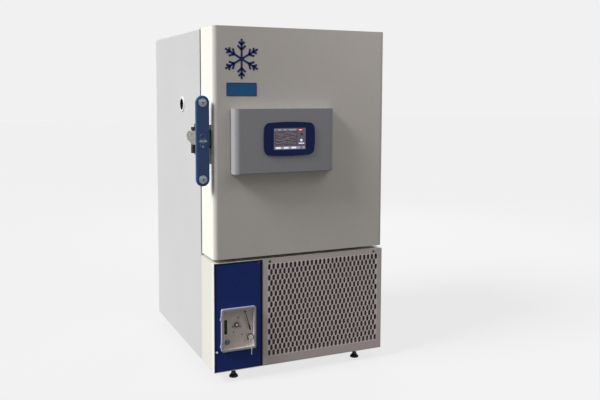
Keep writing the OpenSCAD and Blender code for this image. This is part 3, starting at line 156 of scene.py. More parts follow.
@dataclass(frozen=True)
class Finish:
    """How one surface looks: its colour, its gloss and the relief that breaks them up.

    The colour wanders between colour and shade in grains, and by cloud over the whole piece.
    Where wear is over zero, sharp edges are rubbed through to wear_colour. Lengths are in metres.
    """

    name: str
    colour: Colour
    shade: Colour
    rough: float
    metal: float = 0.0
    grain: float = 60.0
    stretch: Point = (1.0, 1.0, 1.0)
    spread: float = 0.5
    rough_span: float = 0.08
    bump: float = 0.02
    bump_scale: float = 900.0
    edge: float = 0.0
    coat: float = 0.0
    emit: float = 0.0
    alpha: float = 1.0
    specular: float = 0.5
    cloud: float = 0.04
    wear: float = 0.0
    wear_colour: Colour = (0.6, 0.6, 0.6)

    def material(self) -> bpy.types.Material:
        """Builds the node material.

        Returns:
            The material, made once and found again by its name.
        """
        label = f"{self.name}_finish"
        found = bpy.data.materials.get(label)
        if found is not None:
            return found
        mat = bpy.data.materials.new(label)
        mat.use_nodes = True
        mat.node_tree.nodes.clear()
        wires = Wiring(mat.node_tree)
        coords = wires.add("TexCoord", {}).outputs["Object"]
        where = wires.add("Mapping", {"Vector": coords, "Scale": self.stretch}).outputs[0]
        grain = wires.noise(where, self.grain)
        colour = self._cloud(wires, self._grained(wires, grain), coords)
        if self.wear > 0:
            colour = self._worn(wires, colour, grain)
        feeds: dict[str | int, Feed] = {
            "Base Color": colour,
            "Metallic": self.metal,
            "Roughness": self._rough(wires, grain),
            "Normal": self._relief(wires, where),
            "Coat Weight": self.coat,
            "Coat Roughness": 0.12,
            "Specular IOR Level": self.specular,
            "Alpha": self.alpha,
        }
        if self.emit > 0:
            feeds |= {"Emission Color": colour, "Emission Strength": self.emit}
        shader = wires.add("BsdfPrincipled", feeds)
        wires.add("OutputMaterial", {"Surface": shader.outputs[0]})
        return mat

    def _grained(self, wires: Wiring, grain: bpy.types.NodeSocket) -> bpy.types.NodeSocket:
        """Lets the colour wander between its two shades.

        Args:
            wires: the material's nodes.
            grain: the noise that it follows.

        Returns:
            The colour.
        """
        ramp = wires.add("ValToRGB", {"Fac": grain})
        low, high = ramp.color_ramp.elements
        low.position, high.position = 0.5 - self.spread / 2, 0.5 + self.spread / 2
        low.color, high.color = (*self.shade, 1), (*self.colour, 1)
        return ramp.outputs["Color"]

    def _cloud(
        self, wires: Wiring, colour: bpy.types.NodeSocket, coords: bpy.types.NodeSocket
    ) -> bpy.types.NodeSocket:
        """Lets the whole surface wander a little in brightness, as paint and dust do.

        Args:
            wires: the material's nodes.
            colour: the colour so far.
            coords: the coordinates.

        Returns:
            The colour with its slow wander.
        """
        slow = wires.noise(coords, 3.1, 3.0, 0.5)
        levels = {"Value": slow, "To Min": 1.0 - self.cloud, "To Max": 1.0 + self.cloud}
        level = wires.add("MapRange", levels).outputs[0]
        return wires.add("VectorMath", {0: colour, "Scale": level}, "SCALE").outputs[0]

    def _worn(
        self, wires: Wiring, colour: bpy.types.NodeSocket, grain: bpy.types.NodeSocket
    ) -> bpy.types.NodeSocket:
        """Rubs the edges through to a paler colour.

        Args:
            wires: the material's nodes.
            colour: the colour so far.
            grain: the noise that breaks the rubbed line up.

        Returns:
            The colour with its rubbed edges.
        """
        face = wires.add("NewGeometry", {}).outputs["Normal"]
        level = wires.add("VectorMath", {0: wires.bevel(0.0016), 1: face}, "DOT_PRODUCT")
        turn = {"Value": level.outputs["Value"], "From Min": 0.998, "From Max": 0.90}
        edge = wires.add("MapRange", {**turn, "To Max": self.wear}).outputs[0]
        broken = wires.add("Math", {0: edge, 1: grain}, "MULTIPLY").outputs[0]
        mix = wires.add("Mix", {})
        mix.data_type = "RGBA"
        places = {socket.identifier: i for i, socket in enumerate(mix.inputs)}
        factor, first, second = (places[key] for key in ("Factor_Float", "A_Color", "B_Color"))
        wires.feed(mix, {factor: broken, first: colour, second: (*self.wear_colour, 1)})
        return next(o for o in mix.outputs if o.identifier == "Result_Color")

    def _rough(self, wires: Wiring, grain: bpy.types.NodeSocket) -> bpy.types.NodeSocket:
        """Varies the roughness a little, as far as it stays between polished and matte.

        Args:
            wires: the material's nodes.
            grain: the noise that it follows.

        Returns:
            The roughness.
        """
        low = max(0.02, self.rough - self.rough_span)
        high = min(1.0, self.rough + self.rough_span)
        return wires.add("MapRange", {"Value": grain, "To Min": low, "To Max": high}).outputs[0]

    def _relief(self, wires: Wiring, where: bpy.types.NodeSocket) -> bpy.types.NodeSocket:
        """Makes the fine relief and, where asked, softened edges.

        Args:
            wires: the material's nodes.
            where: the coordinates.

        Returns:
            The normal.
        """
        fine = wires.noise(where, self.bump_scale)
        relief = wires.add("Bump", {"Height": fine, "Strength": self.bump, "Distance": 0.001})
        if self.edge > 0:
            wires.feed(relief, {"Normal": wires.bevel(self.edge)})
        return relief.outputs[0]


@dataclass(frozen=True)
class Paint(Finish):
    """Satin paint on sheet, with its faint orange peel."""

    rough: float = 0.45
    bump: float = 0.05
    bump_scale: float = 420.0


@dataclass(frozen=True)
class Plastic(Finish):
    """Moulded plastic with a fine texture."""

    rough: float = 0.45
    bump: float = 0.05
    bump_scale: float = 700.0


@dataclass(frozen=True)
class Metal(Finish):
    """Bare metal."""

    metal: float = 1.0
    bump: float = 0.05


@dataclass(frozen=True)
class Lit(Finish):
    """A colour that the touch screen shows."""

    rough: float = 0.3
    bump: float = 0.0
    specular: float = 0.2
    emit: float = 0.45


class Look(Enum):
    """Every finish on the freezer."""

    WHITE = Paint("white_paint", grey(0.597), grey(0.577), edge=0.002)
    # Painted highlight: a paler copy of the door's paint for its latch side, which faces the key
    # light.
    DOOR_CREAM = Paint("door_edge_cream", (0.94, 0.935, 0.85), (0.92, 0.915, 0.83), specular=0.3)
    CREAM = Paint("cream_paint", (0.76, 0.745, 0.655), (0.73, 0.715, 0.63), 0.42, edge=0.0015)
    WARM_GREY = Paint(
        "warm_grey_paint", (0.757, 0.708, 0.655), (0.727, 0.680, 0.630),
        bump=0.07, edge=0.0015, specular=0.35,
    )
    GRILLE_GREY = Paint(
        "grille_grey_paint", (0.72, 0.635, 0.61), (0.67, 0.59, 0.57),
        bump=0.10, edge=0.0008, specular=0.35,
    )
    GRILLE_LAND = Paint(
        "grille_land_paint", (0.90, 0.81, 0.79), (0.85, 0.765, 0.745),
        bump=0.10, edge=0.0008, specular=0.35,
    )
    PANEL_GREY = Paint(
        "panel_grey_paint", (0.36, 0.36, 0.385), (0.34, 0.34, 0.365), 0.38,
        bump=0.06, bump_scale=500, edge=0.0015, specular=0.3,
    )
    # Painted highlight: a paler copy of the panel paint for the control box's rounded left corner,
    # where the key light catches it.
    PANEL_FOLD = Paint(
        "panel_grey_fold", (0.43, 0.43, 0.44), (0.41, 0.41, 0.42), 0.34,
        bump=0.06, bump_scale=500, specular=0.4,
    )
    # Painted shade: dark grey for the strip on the control box's left side along its join with the
    # door.
    SEAM = Paint(
        "seam_grey", (0.16, 0.16, 0.17), (0.13, 0.13, 0.14), 0.5,
        bump=0.06, bump_scale=500, specular=0.2,
    )
    BLUE = Paint(
        "blue_paint", (0.013, 0.036, 0.205), (0.011, 0.031, 0.183), 0.42,
        bump=0.06, edge=0.001, specular=0.15,
    )
    SHEET = Paint("grey_sheet", (0.52, 0.52, 0.53), (0.47, 0.47, 0.48), bump=0.06, edge=0.001)
    CHASSIS = Paint(
        "chassis_steel", (0.10, 0.105, 0.115), (0.075, 0.08, 0.09), 0.55, bump=0.1, bump_scale=500
    )
    STAINLESS = Metal(
        "stainless", (0.62, 0.63, 0.64), (0.50, 0.51, 0.52), 0.30,
        grain=18, stretch=(1, 1, 40), bump_scale=120, edge=0.001,
    )
    ZINC = Metal(
        "zinc_steel", (0.55, 0.55, 0.56), (0.42, 0.42, 0.43), 0.38,
        grain=90, bump=0.08, bump_scale=500, edge=0.0006,
    )
    BRIGHT = Metal(
        "bright_steel", (0.60, 0.62, 0.66), (0.46, 0.48, 0.52), 0.26,
        grain=200, bump=0.03, edge=0.0004,
    )
    CAST = Metal(
        "cast_metal", (0.33, 0.31, 0.28), (0.15, 0.145, 0.13), 0.50, 0.25,
        grain=110, spread=0.3, bump=0.35, bump_scale=500, edge=0.0015,
        wear=0.3, wear_colour=(0.5, 0.5, 0.48),
    )
    FIN = Metal("fin_aluminium", (0.50, 0.51, 0.52), (0.36, 0.36, 0.38), 0.35)
    COPPER = Metal("copper_tube", (0.58, 0.27, 0.14), (0.38, 0.17, 0.09), 0.32, grain=40, bump=0.04)
    CAN = Finish(
        "compressor_black", (0.012, 0.012, 0.014), (0.020, 0.020, 0.022), 0.35,
        bump=0.12, bump_scale=300, coat=0.2,
    )
    FOAM = Finish(
        "insulation_foam", (0.75, 0.66, 0.40), (0.66, 0.57, 0.33), 0.95,
        grain=120, bump=0.6, bump_scale=400,
    )
    WHITE_PLASTIC = Plastic(
        "white_plastic", (0.74, 0.74, 0.71), (0.70, 0.70, 0.67),
        bump=0.06, bump_scale=800, edge=0.0015,
    )
    BLACK_PLASTIC = Plastic(
        "black_plastic", (0.010, 0.010, 0.011), (0.016, 0.016, 0.017), 0.60,
        bump=0.12, bump_scale=900, edge=0.0006, specular=0.15,
    )
    BLACK_METAL = Paint(
        "black_metal", (0.022, 0.020, 0.018), (0.034, 0.031, 0.028),
        bump=0.12, bump_scale=600, edge=0.0008, specular=0.4,
        wear=0.3, wear_colour=(0.20, 0.19, 0.18),
    )
    BEZEL = Plastic(
        "dark_blue_plastic", (0.010, 0.022, 0.098), (0.011, 0.023, 0.106), 0.36,
        bump=0.03, bump_scale=800, edge=0.002, specular=0.12,
    )
    # Painted shade: dark navy strips along the fascia's edges.
    NAVY_SHADE = Plastic(
        "navy_edge", (0.005, 0.008, 0.034), (0.004, 0.006, 0.026),
        bump=0.03, bump_scale=800, specular=0.1,
    )
    GRIP = Plastic(
        "grip_blue", (0.032, 0.088, 0.235), (0.027, 0.074, 0.202), 0.36,
        edge=0.001, coat=0.1, specular=0.25, wear=0.3, wear_colour=(0.12, 0.17, 0.30),
    )
    # Painted shade: dark blue for the hollows round and in the grip's screws and in the recorder
    # knob's slot.
    GRIP_SHADE = Plastic(
        "grip_recess", (0.010, 0.018, 0.055), (0.008, 0.014, 0.045), 0.5, specular=0.3
    )
    GRIP_RING = Plastic(
        "grip_ring", (0.070, 0.125, 0.240), (0.055, 0.100, 0.200), 0.38,
        edge=0.0004, specular=0.35,
    )
    SCREEN = Lit(
        "display_glass", (0.20, 0.18, 0.22), (0.16, 0.15, 0.17), 0.14,
        grain=8, coat=0.3, emit=0.10, specular=0.3,
    )
    RECORDER = Plastic(
        "recorder_plastic", (0.46, 0.46, 0.55), (0.42, 0.42, 0.50),
        bump=0.08, edge=0.0008, specular=0.25,
    )
    PLATE = Paint(
        "recorder_plate", (0.90, 0.80, 0.76), (0.76, 0.675, 0.64),
        grain=40, bump=0.08, bump_scale=500, specular=0.3, cloud=0.12,
    )
    CLEAR = Plastic(
        "clear_plastic", (0.30, 0.31, 0.33), (0.28, 0.29, 0.31), 0.12,
        rough_span=0.02, bump=0.0, bump_scale=900, alpha=0.02, specular=0.2,
    )
    GASKET = Finish(
        "gasket_rubber", (0.012, 0.012, 0.013), (0.022, 0.022, 0.023), 0.75,
        bump=0.1, bump_scale=500, specular=0.3,
    )
    FILTER = Finish(
        "filter_cloth", (0.23, 0.165, 0.165), (0.15, 0.105, 0.108), 0.95,
        grain=500, bump=0.5, specular=0.1,
    )
    TYRE = Finish(
        "wheel_tyre", grey(0.012), grey(0.022), 0.70,
        bump=0.12, bump_scale=600, specular=0.3,
    )
    MARK = Paint(
        "crystal_ink", (0.022, 0.040, 0.190), (0.019, 0.034, 0.165),
        bump=0.03, bump_scale=900, specular=0.25,
    )
    NAMEPLATE = Paint(
        "blank_plate_blue", (0.012, 0.125, 0.320), (0.010, 0.105, 0.280), 0.38,
        bump=0.03, bump_scale=900, edge=0.0006, specular=0.3,
    )
    KNOB_BLUE = Plastic(
        "knob_blue_grey", (0.20, 0.25, 0.33), (0.14, 0.18, 0.25), 0.40,
        bump=0.08, bump_scale=900, edge=0.0006,
    )
    BRONZE = Metal(
        "dark_bronze", (0.090, 0.062, 0.050), (0.055, 0.038, 0.032), 0.45, 0.4,
        grain=150, bump=0.06, edge=0.0005,
    )
    WASHER = Metal(
        "washer_steel", (0.33, 0.38, 0.45), (0.26, 0.30, 0.37), 0.42, 0.5,
        grain=180, edge=0.0004, specular=0.3,
    )
    LOCK_BLUE = Metal(
        "lock_steel", (0.10, 0.14, 0.22), (0.07, 0.10, 0.17), 0.38, 0.5,
        grain=150, edge=0.0004, specular=0.3,
    )
    DULL = Metal(
        "lock_nickel", (0.80, 0.77, 0.72), (0.42, 0.38, 0.35), 0.32, 0.6,
        grain=120, spread=0.3, bump=0.06, edge=0.0005,
    )
    RING_WHITE = Plastic(
        "port_ring_white", grey(0.83), grey(0.81), 0.40, bump=0.04, bump_scale=800, edge=0.0008
    )
    UI_PALE = Lit("ui_pale", (0.42, 0.40, 0.58), (0.38, 0.36, 0.54))
    UI_CHART = Lit("ui_chart", (0.075, 0.060, 0.085), (0.065, 0.055, 0.075))
    UI_RED = Lit("ui_red", (0.40, 0.05, 0.07), (0.36, 0.04, 0.06))
    UI_BLUE = Lit("ui_column", (0.13, 0.12, 0.17), (0.11, 0.10, 0.14))
    UI_TRACE = Lit("ui_trace", (0.36, 0.22, 0.16), (0.30, 0.24, 0.16), emit=0.5)
    UI_GRID = Lit("ui_grid", (0.32, 0.30, 0.36), (0.28, 0.26, 0.32))
    UI_WHITE = Lit("ui_white", (0.88, 0.88, 0.97), (0.85, 0.85, 0.94), emit=0.6)
    UI_DARK = Lit("ui_dark", (0.05, 0.05, 0.14), (0.04, 0.04, 0.12), emit=0.0)


SLOT_LOOKS = {look.value.name: look for look in Look}
NODE_LOOKS = {
    "recorder_lock": Look.DULL,
    "grip_lock": Look.LOCK_BLUE,
    "grip_screws": Look.WASHER,
    "port_ring": Look.RING_WHITE,
}


# ---------------------------------------------------------------- scene


@dataclass(frozen=True)
class SoftLamp:
    """A square lamp that looks at a point."""

    name: str
    at: Point
    to: Point
    size: float
    watts: float


@dataclass
class Studio:
    """Floor, world, lamps and camera."""

    camera_at: Point = (-1.452, -3.734, 1.380)
    yaw_deg: float = 24.38
    pitch_deg: float = -4.896
    roll_deg: float = 0.242
    lens_mm: float = 44.18
    shift_y: float = -0.0767
    floor_half: float = 30.0
    floor_bounce: float = 0.11
    floor_glow: float = 0.76
    background: float = 0.88
    fill: float = 0.18
    key_from: Point = (-0.75, -0.05, 0.66)
    key: float = 3.9
    key_spread_deg: float = 24.0
    lamps: tuple[SoftLamp, ...] = (
        SoftLamp("front", (1.6, -2.0, 3.1), (0.45, -0.6, 1.45), 1.6, 16.5),
        SoftLamp("rear", (2.4, 3.4, 3.0), (0.1, 0.5, 0.9), 2.4, 60.0),
    )

    def build(self) -> None:
        """Makes the floor, the light and the camera."""
        scene = bpy.context.scene
        scene.view_settings.view_transform = "Standard"
        self._world(scene)
        self._floor()
        self._sun()
        for lamp in self.lamps:
            self._lamp(lamp)
        self._camera(scene)

    def _seen(self, wires: Wiring) -> bpy.types.NodeSocket:
        """Tells the rays that show the surround from the rays that light the object.

        Args:
            wires: the nodes to add to.

        Returns:
            One for a camera, glossy or transmission ray, and zero for the others.
        """
        path = wires.add("LightPath", {})
        total: bpy.types.NodeSocket = path.outputs["Is Camera Ray"]
        for name in ("Is Glossy Ray", "Is Transmission Ray"):
            total = wires.add("Math", {0: total, 1: path.outputs[name]}, "MAXIMUM").outputs[0]
        return total

    def _world(self, scene: bpy.types.Scene) -> None:
        """Makes a plain pale surround, which lights the object less than it shows.

        Args:
            scene: the scene that it surrounds.
        """
        world = bpy.data.worlds.new("studio")
        world.use_nodes = True
        wires = Wiring(world.node_tree)
        levels = {"Value": self._seen(wires), "To Min": self.fill, "To Max": self.background}
        level = wires.add("MapRange", levels).outputs[0]
        wires.feed(world.node_tree.nodes["Background"], {"Color": (1, 1, 1, 1), "Strength": level})
        scene.world = world

    def _floor(self) -> None:
        """Lays a plain pale floor."""
        h = self.floor_half
        mesh = bpy.data.meshes.new("floor")
        mesh.from_pydata([(-h, -h, 0), (h, -h, 0), (h, h, 0), (-h, h, 0)], [], [(0, 1, 2, 3)])
        mesh.materials.append(self._floor_paint())
        floor = bpy.data.objects.new("floor", mesh)
        bpy.context.scene.collection.objects.link(floor)

    def _floor_paint(self) -> bpy.types.Material:
        """Makes a matte paint that keeps the shadow and shows as pale as the surround.

        Returns:
            The floor's material.
        """
        mat = bpy.data.materials.new("studio_floor")
        mat.use_nodes = True
        wires = Wiring(mat.node_tree)
        glow = wires.add("Math", {0: self._seen(wires), 1: self.floor_glow}, "MULTIPLY")
        feeds = {
            "Base Color": (*grey(self.floor_bounce), 1),
            "Roughness": 0.9,
            "Specular IOR Level": 0.0,
            "Emission Color": (1, 1, 1, 1),
            "Emission Strength": glow.outputs[0],
        }
        wires.feed(mat.node_tree.nodes["Principled BSDF"], feeds)
        return mat

    def _sun(self) -> None:
        """Hangs the broad key light, from the left and above."""
        data = bpy.data.lights.new("key", "SUN")
        data.energy = self.key
        data.angle = math.radians(self.key_spread_deg)
        self._hang(data, (0, 0, 0), -Vector(self.key_from))

    def _lamp(self, lamp: SoftLamp) -> None:
        """Hangs one square lamp.

        Args:
            lamp: its sizes and places.
        """
        data = bpy.data.lights.new(lamp.name, "AREA")
        data.shape = "SQUARE"
        data.size = lamp.size
        data.energy = lamp.watts
        self._hang(data, lamp.at, Vector(lamp.to) - Vector(lamp.at))

    def _camera(self, scene: bpy.types.Scene) -> None:
        """Sets the camera at the viewing angle.

        Args:
            scene: the scene that it shows.
        """
        data = bpy.data.cameras.new("camera")
        data.sensor_width = 36.0
        data.lens = self.lens_mm
        data.shift_y = self.shift_y
        data.clip_start, data.clip_end = 0.05, 100.0
        yaw, pitch = math.radians(self.yaw_deg), math.radians(self.pitch_deg)
        level = math.cos(pitch)
        look = Vector((math.sin(yaw) * level, math.cos(yaw) * level, math.sin(pitch)))
        scene.camera = self._hang(data, self.camera_at, look, self.roll_deg)

    @staticmethod
    def _hang(
        data: bpy.types.ID, at: Point, along: Vector, roll_deg: float = 0.0
    ) -> bpy.types.Object:
        """Puts a lamp or a camera in the scene.

        Args:
            data: the lamp or the camera.
            at: where it stands.
            along: which way it looks.
            roll_deg: how far it is turned about its line of sight.

        Returns:
            Its object.
        """
        thing = bpy.data.objects.new(data.name, data)
        thing.location = at
        thing.rotation_mode = "QUATERNION"
        roll = Quaternion((0, 0, 1), math.radians(roll_deg))
        thing.rotation_quaternion = along.to_track_quat("-Z", "Y") @ roll
        bpy.context.scene.collection.objects.link(thing)
        return thing


@dataclass
class Frame:
    """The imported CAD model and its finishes."""

    data: dict

    def build(self) -> None:
        """Gives each CAD node its own finish, or that of its material slot."""
        slots = {s["node"]: s["material_slot"] for s in self.data["record"]["subparts"]}
        for name, obj in self.data["nodes"].items():
            look = NODE_LOOKS.get(name, SLOT_LOOKS[slots[name]])
            obj.data.materials.clear()
            obj.data.materials.append(look.value.material())
        LOG.info("dressed %d CAD nodes", len(self.data["nodes"]))


# ---------------------------------------------------------------- outlines


def centre(lo: Point, hi: Point) -> Point:
    """The middle between two corners."""
    return tuple((a + b) / 2 for a, b in zip(lo, hi))


def rect(x0: float, z0: float, x1: float, z1: float) -> Outline:
    """A plain rectangle between two corners."""
    return [(x0, z0), (x1, z0), (x1, z1), (x0, z1)]


def rounded(x: float, z: float, w: float, h: float, r: float, steps: int = 5) -> Outline:
    """A rounded rectangle about a middle.

    Args:
        x: the middle's place across.
        z: the middle's place up.
        w: width.
        h: height.
        r: corner radius.
        steps: segments in each corner.

    Returns:
        The outline, counter-clockwise.
    """
    points: Outline = []
    for k, (sx, sz) in enumerate(((1, 1), (-1, 1), (-1, -1), (1, -1))):
        cx, cz = x + sx * (w / 2 - r), z + sz * (h / 2 - r)
        for i in range(steps + 1):
            a = math.pi / 2 * (k + i / steps)
            points.append((cx + r * math.cos(a), cz + r * math.sin(a)))
    return points


def disc(x: float, z: float, r: float, steps: int = 28) -> Outline:
    """A round outline about a middle."""
    turn = 2 * math.pi / steps
    return [(x + r * math.cos(i * turn), z + r * math.sin(i * turn)) for i in range(steps)]


def cross(x: float, z: float, size: float, width: float) -> list[Outline]:
    """The two bars of a cross recess."""
    soft = width * 0.3
    return [rounded(x, z, size, width, soft, 2), rounded(x, z, width, size, soft, 2)]


def ribbon(points: Sequence[Spot], width: float) -> Outline:
    """A flat line of one width along points.

    Args:
        points: the middle line.
        width: the line's width.

    Returns:
        Its closed outline.
    """
    left: Outline = []
    right: Outline = []
    for i, (x, z) in enumerate(points):
        x0, z0 = points[max(0, i - 1)]
        x1, z1 = points[min(len(points) - 1, i + 1)]
        length = math.hypot(x1 - x0, z1 - z0)
        nx, nz = -(z1 - z0) / length * width / 2, (x1 - x0) / length * width / 2
        left.append((x + nx, z + nz))
        right.append((x - nx, z - nz))
    return left + right[::-1]


def dense(outline: Outline, step: float = 0.008) -> Outline:
    """Adds points along an outline's long sides.

    Args:
        outline: the outline.
        step: the longest stretch allowed.

    Returns:
        The same outline with more points.
    """
    points: Outline = []
    for (x0, z0), (x1, z1) in zip(outline, outline[1:] + outline[:1]):
        count = max(1, math.ceil(math.hypot(x1 - x0, z1 - z0) / step))
        shares = (i / count for i in range(count))
        points += [(x0 + (x1 - x0) * share, z0 + (z1 - z0) * share) for share in shares]
    return points


def split_ring(outer: Outline, inner: Outline) -> list[Outline]:
    """Cuts a ring between two outlines of the same count into four-sided plates.

    Args:
        outer: the outer outline.
        inner: the inner outline, with as many points.

    Returns:
        One closed outline for each stretch.
    """
    count = len(outer)
    return [
        [outer[i], outer[(i + 1) % count], inner[(i + 1) % count], inner[i]]
        for i in range(count)
        if math.dist(outer[i], outer[(i + 1) % count]) > 1e-6
    ]


def edge_band(middle: Spot, radius: float, back: float, sweep_deg: float) -> Outline:
    """A thin sheet, seen from above, down a left side and round part of its front corner.

    Args:
        middle: the corner's middle along X and Y.
        radius: the corner's radius.
        back: where the sheet starts along Y.
        sweep_deg: how far it turns round the corner.

    Returns:
        Its closed outline.
    """
    half, steps = 0.0004, 8
    paths = []
    for r in (radius + half, radius - half):
        path = [(middle[0] - r, back)]
        for i in range(steps + 1):
            a = math.pi + math.radians(sweep_deg) * i / steps
            path.append((middle[0] + r * math.cos(a), middle[1] + r * math.sin(a)))
        paths.append(path)
    return paths[0] + paths[1][::-1]


def dome(radius: float, rise: float, steps: int = 5) -> Outline:
    """The closed profile of a low dome.

    Args:
        radius: its radius.
        rise: its height.
        steps: segments along its curve.

    Returns:
        The profile, from the middle outward and back along the plane.
    """
    turns = (math.pi / 2 * i / steps for i in range(1, steps))
    curve = [(radius * math.sin(a), rise * math.cos(a)) for a in turns]
    return [(0.0, rise), *curve, (radius, 0.0), (0.0, 0.0)]


def collar(inner: float, outer: float, rise: float, soft: float = 0.0006) -> Outline:
    """The closed profile of a flat ring with softened edges.

    Args:
        inner: inner radius.
        outer: outer radius.
        rise: height.
        soft: width of the softened edge.

    Returns:
        The profile.
    """
    return [
        (inner, 0.0), (inner, rise - soft), (inner + soft, rise),
        (outer - soft, rise), (outer, rise - soft), (outer, 0.0),
    ]


# ---------------------------------------------------------------- pieces


class Facing(Enum):
    """Which way a piece is raised: the plane's axis and its sense."""

    FRONT = ("y", -1)
    BACK = ("y", 1)
    LEFT = ("x", -1)
    RIGHT = ("x", 1)
    UP = ("z", 1)
    DOWN = ("z", -1)

    def place(self, u: float, v: float, plane: float, out: float) -> Point:
        """Turns a drawn point into a point in space.

        Args:
            u: the way across, along X, or along Y where the piece faces a side.
            v: the way up, along Z, or along Y where the piece faces up or down.
            plane: where the plane stands on its axis.
            out: how far the point is raised.

        Returns:
            The point.
        """
        axis, sense = self.value
        deep = plane + sense * out
        return {"x": (deep, u, v), "y": (u, deep, v), "z": (u, v, deep)}[axis]


@dataclass
class Shaper:
    """Makes finished meshes that ride on a body, raised from a plane that faces one way."""

    body: str
    facing: Facing = Facing.FRONT
    crease_deg: float = 35.0
    weld: float = 1e-6

    def prism(
        self,
        name: str,
        outlines: Sequence[Outline],
        plane: float,
        thick: float,
        look: Look,
        round_edge: float = 0.0,
        smooth: bool = False,
    ) -> bpy.types.Object:
        """Raises closed outlines off a plane.

        Args:
            name: the piece's name.
            outlines: closed outlines, one solid each.
            plane: the plane that they stand on.
            thick: how far they stand out.
            look: the finish.
            round_edge: width of the rounding along the front edge.
            smooth: whether gently bent sides shade as one.

        Returns:
            The piece, riding on the body.
        """
        bm = bmesh.new()
        for outline in outlines:
            base = [bm.verts.new(self.facing.place(u, v, plane, 0.0)) for u, v in outline]
            top = [bm.verts.new(self.facing.place(u, v, plane, thick)) for u, v in outline]
            count = len(outline)
            bm.faces.new(base)
            bm.faces.new(top[::-1])
            for i in range(count):
                j = (i + 1) % count
                bm.faces.new((base[i], top[i], top[j], base[j]))
            if round_edge > 0:
                ring = set(top)
                edges = [e for e in bm.edges if ring.issuperset(e.verts)]
                bmesh.ops.bevel(
                    bm, geom=edges, offset=round_edge, segments=2, profile=0.6, affect="EDGES"
                )
        return self.made(name, bm, look, smooth)

    def turned(
        self,
        name: str,
        middles: Sequence[Spot],
        profile: Outline,
        plane: float,
        look: Look,
        steps: int = 32,
    ) -> bpy.types.Object:
        """Turns a closed profile about each middle, as on a lathe.

        Args:
            name: the piece's name.
            middles: where the turned solids stand.
            profile: closed profile of radius and height above the plane.
            plane: the plane that they stand on.
            look: the finish.
            steps: flats around.

        Returns:
            The piece, riding on the body.
        """
        bm = bmesh.new()
        for u0, v0 in middles:
            loops = []
            for i in range(steps):
                a = 2 * math.pi * i / steps
                c, s = math.cos(a), math.sin(a)
                spots = [self.facing.place(u0 + r * c, v0 + r * s, plane, h) for r, h in profile]
                loops.append([bm.verts.new(spot) for spot in spots])
            for i in range(steps):
                here, there = loops[i], loops[(i + 1) % steps]
                for k in range(len(profile)):
                    n = (k + 1) % len(profile)
                    if profile[k][0] == 0 and profile[n][0] == 0:
                        continue
                    bm.faces.new((here[k], here[n], there[n], there[k]))
        bmesh.ops.remove_doubles(bm, verts=bm.verts, dist=self.weld)
        bmesh.ops.dissolve_degenerate(bm, edges=bm.edges, dist=self.weld)
        return self.made(name, bm, look, smooth=True)

    def pierced(
        self,
        name: str,
        outer: Outline,
        holes: Sequence[Outline],
        plane: float,
        thick: float,
        look: Look,
    ) -> bpy.types.Object:
        """Raises a sheet with holes off a plane.

        Args:
            name: the piece's name.
            outer: the sheet's outline.
            holes: the holes' outlines.
            plane: the plane that it stands on.
            thick: how far it stands out.
            look: the finish.

        Returns:
            The piece, riding on the body.
        """
        bm = bmesh.new()
        edges = []
        for outline in (outer, *holes):
            ring = [bm.verts.new(self.facing.place(u, v, plane, 0.0)) for u, v in outline]
            edges += [bm.edges.new((ring[i], ring[i - 1])) for i in range(len(ring))]
        bmesh.ops.triangle_fill(bm, use_beauty=True, use_dissolve=False, edges=edges)
        grown = bmesh.ops.extrude_face_region(bm, geom=list(bm.faces))["geom"]
        raised = [v for v in grown if isinstance(v, bmesh.types.BMVert)]
        out = Vector(self.facing.place(0.0, 0.0, 0.0, thick))
        bmesh.ops.translate(bm, verts=raised, vec=out)
        return self.made(name, bm, look)

    def made(
        self, name: str, bm: bmesh.types.BMesh, look: Look, smooth: bool = False
    ) -> bpy.types.Object:
        """Turns a mesh into a piece that rides on the body.

        Args:
            name: the piece's name.
            bm: its mesh, used up here.
            look: the finish.
            smooth: whether gently bent faces shade as one.

        Returns:
            The piece.
        """
        bmesh.ops.recalc_face_normals(bm, faces=bm.faces)
        if smooth:
            crease = math.radians(self.crease_deg)
            for face in bm.faces:
                face.smooth = True
            for edge in bm.edges:
                if len(edge.link_faces) == 2 and edge.calc_face_angle() > crease:
                    edge.smooth = False
        mesh = bpy.data.meshes.new(name)
        bm.to_mesh(mesh)
        bm.free()
        mesh.materials.append(look.value.material())
        piece = bpy.data.objects.new(name, mesh)
        bpy.context.scene.collection.objects.link(piece)
        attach(piece, self.body)
        LOG.info("%s rides on %s", name, self.body)
        return piece


class Part(Protocol):
    """The looks of one sub-assembly."""

    def build(self) -> None:
        """Makes and dresses its pieces."""


@dataclass(frozen=True)
class Pane:
    """The lit part of the touch screen, on which places are shares of its width and height."""

    x: float
    z: float
    w: float
    h: float
    corner: float = 0.0012

    def at(self, u: float, v: float) -> Spot:
        """A place on the pane."""
        return self.x + u * self.w, self.z + v * self.h

    def patch(self, u0: float, v0: float, u1: float, v1: float) -> Outline:
        """A plate between two places."""
        (xa, za), (xb, zb) = self.at(u0, v0), self.at(u1, v1)
        return rounded((xa + xb) / 2, (za + zb) / 2, xb - xa, zb - za, self.corner, 3)


@dataclass(frozen=True)
class Wave:
    """One temperature trace on the chart, in shares of the pane."""

    base: float
    swing: float
    beat: float
    late: float
    start: float = 0.04
    run: float = 0.68
    ripple: float = 0.012
    ripple_beat: float = 37.0
    width: float = 0.0013
    steps: int = 45

    def drawn(self, pane: Pane) -> Outline:
        """Draws the trace.

        Args:
            pane: where it is drawn.

        Returns:
            Its closed outline.
        """
        points = []
        for i in range(self.steps + 1):
            u = self.start + self.run * i / self.steps
            swing = self.swing * math.sin(self.beat * u * math.pi + self.late)
            ripple = self.ripple * math.sin(self.ripple_beat * u)
            points.append(pane.at(u, self.base + swing + ripple))
        return ribbon(points, self.width)


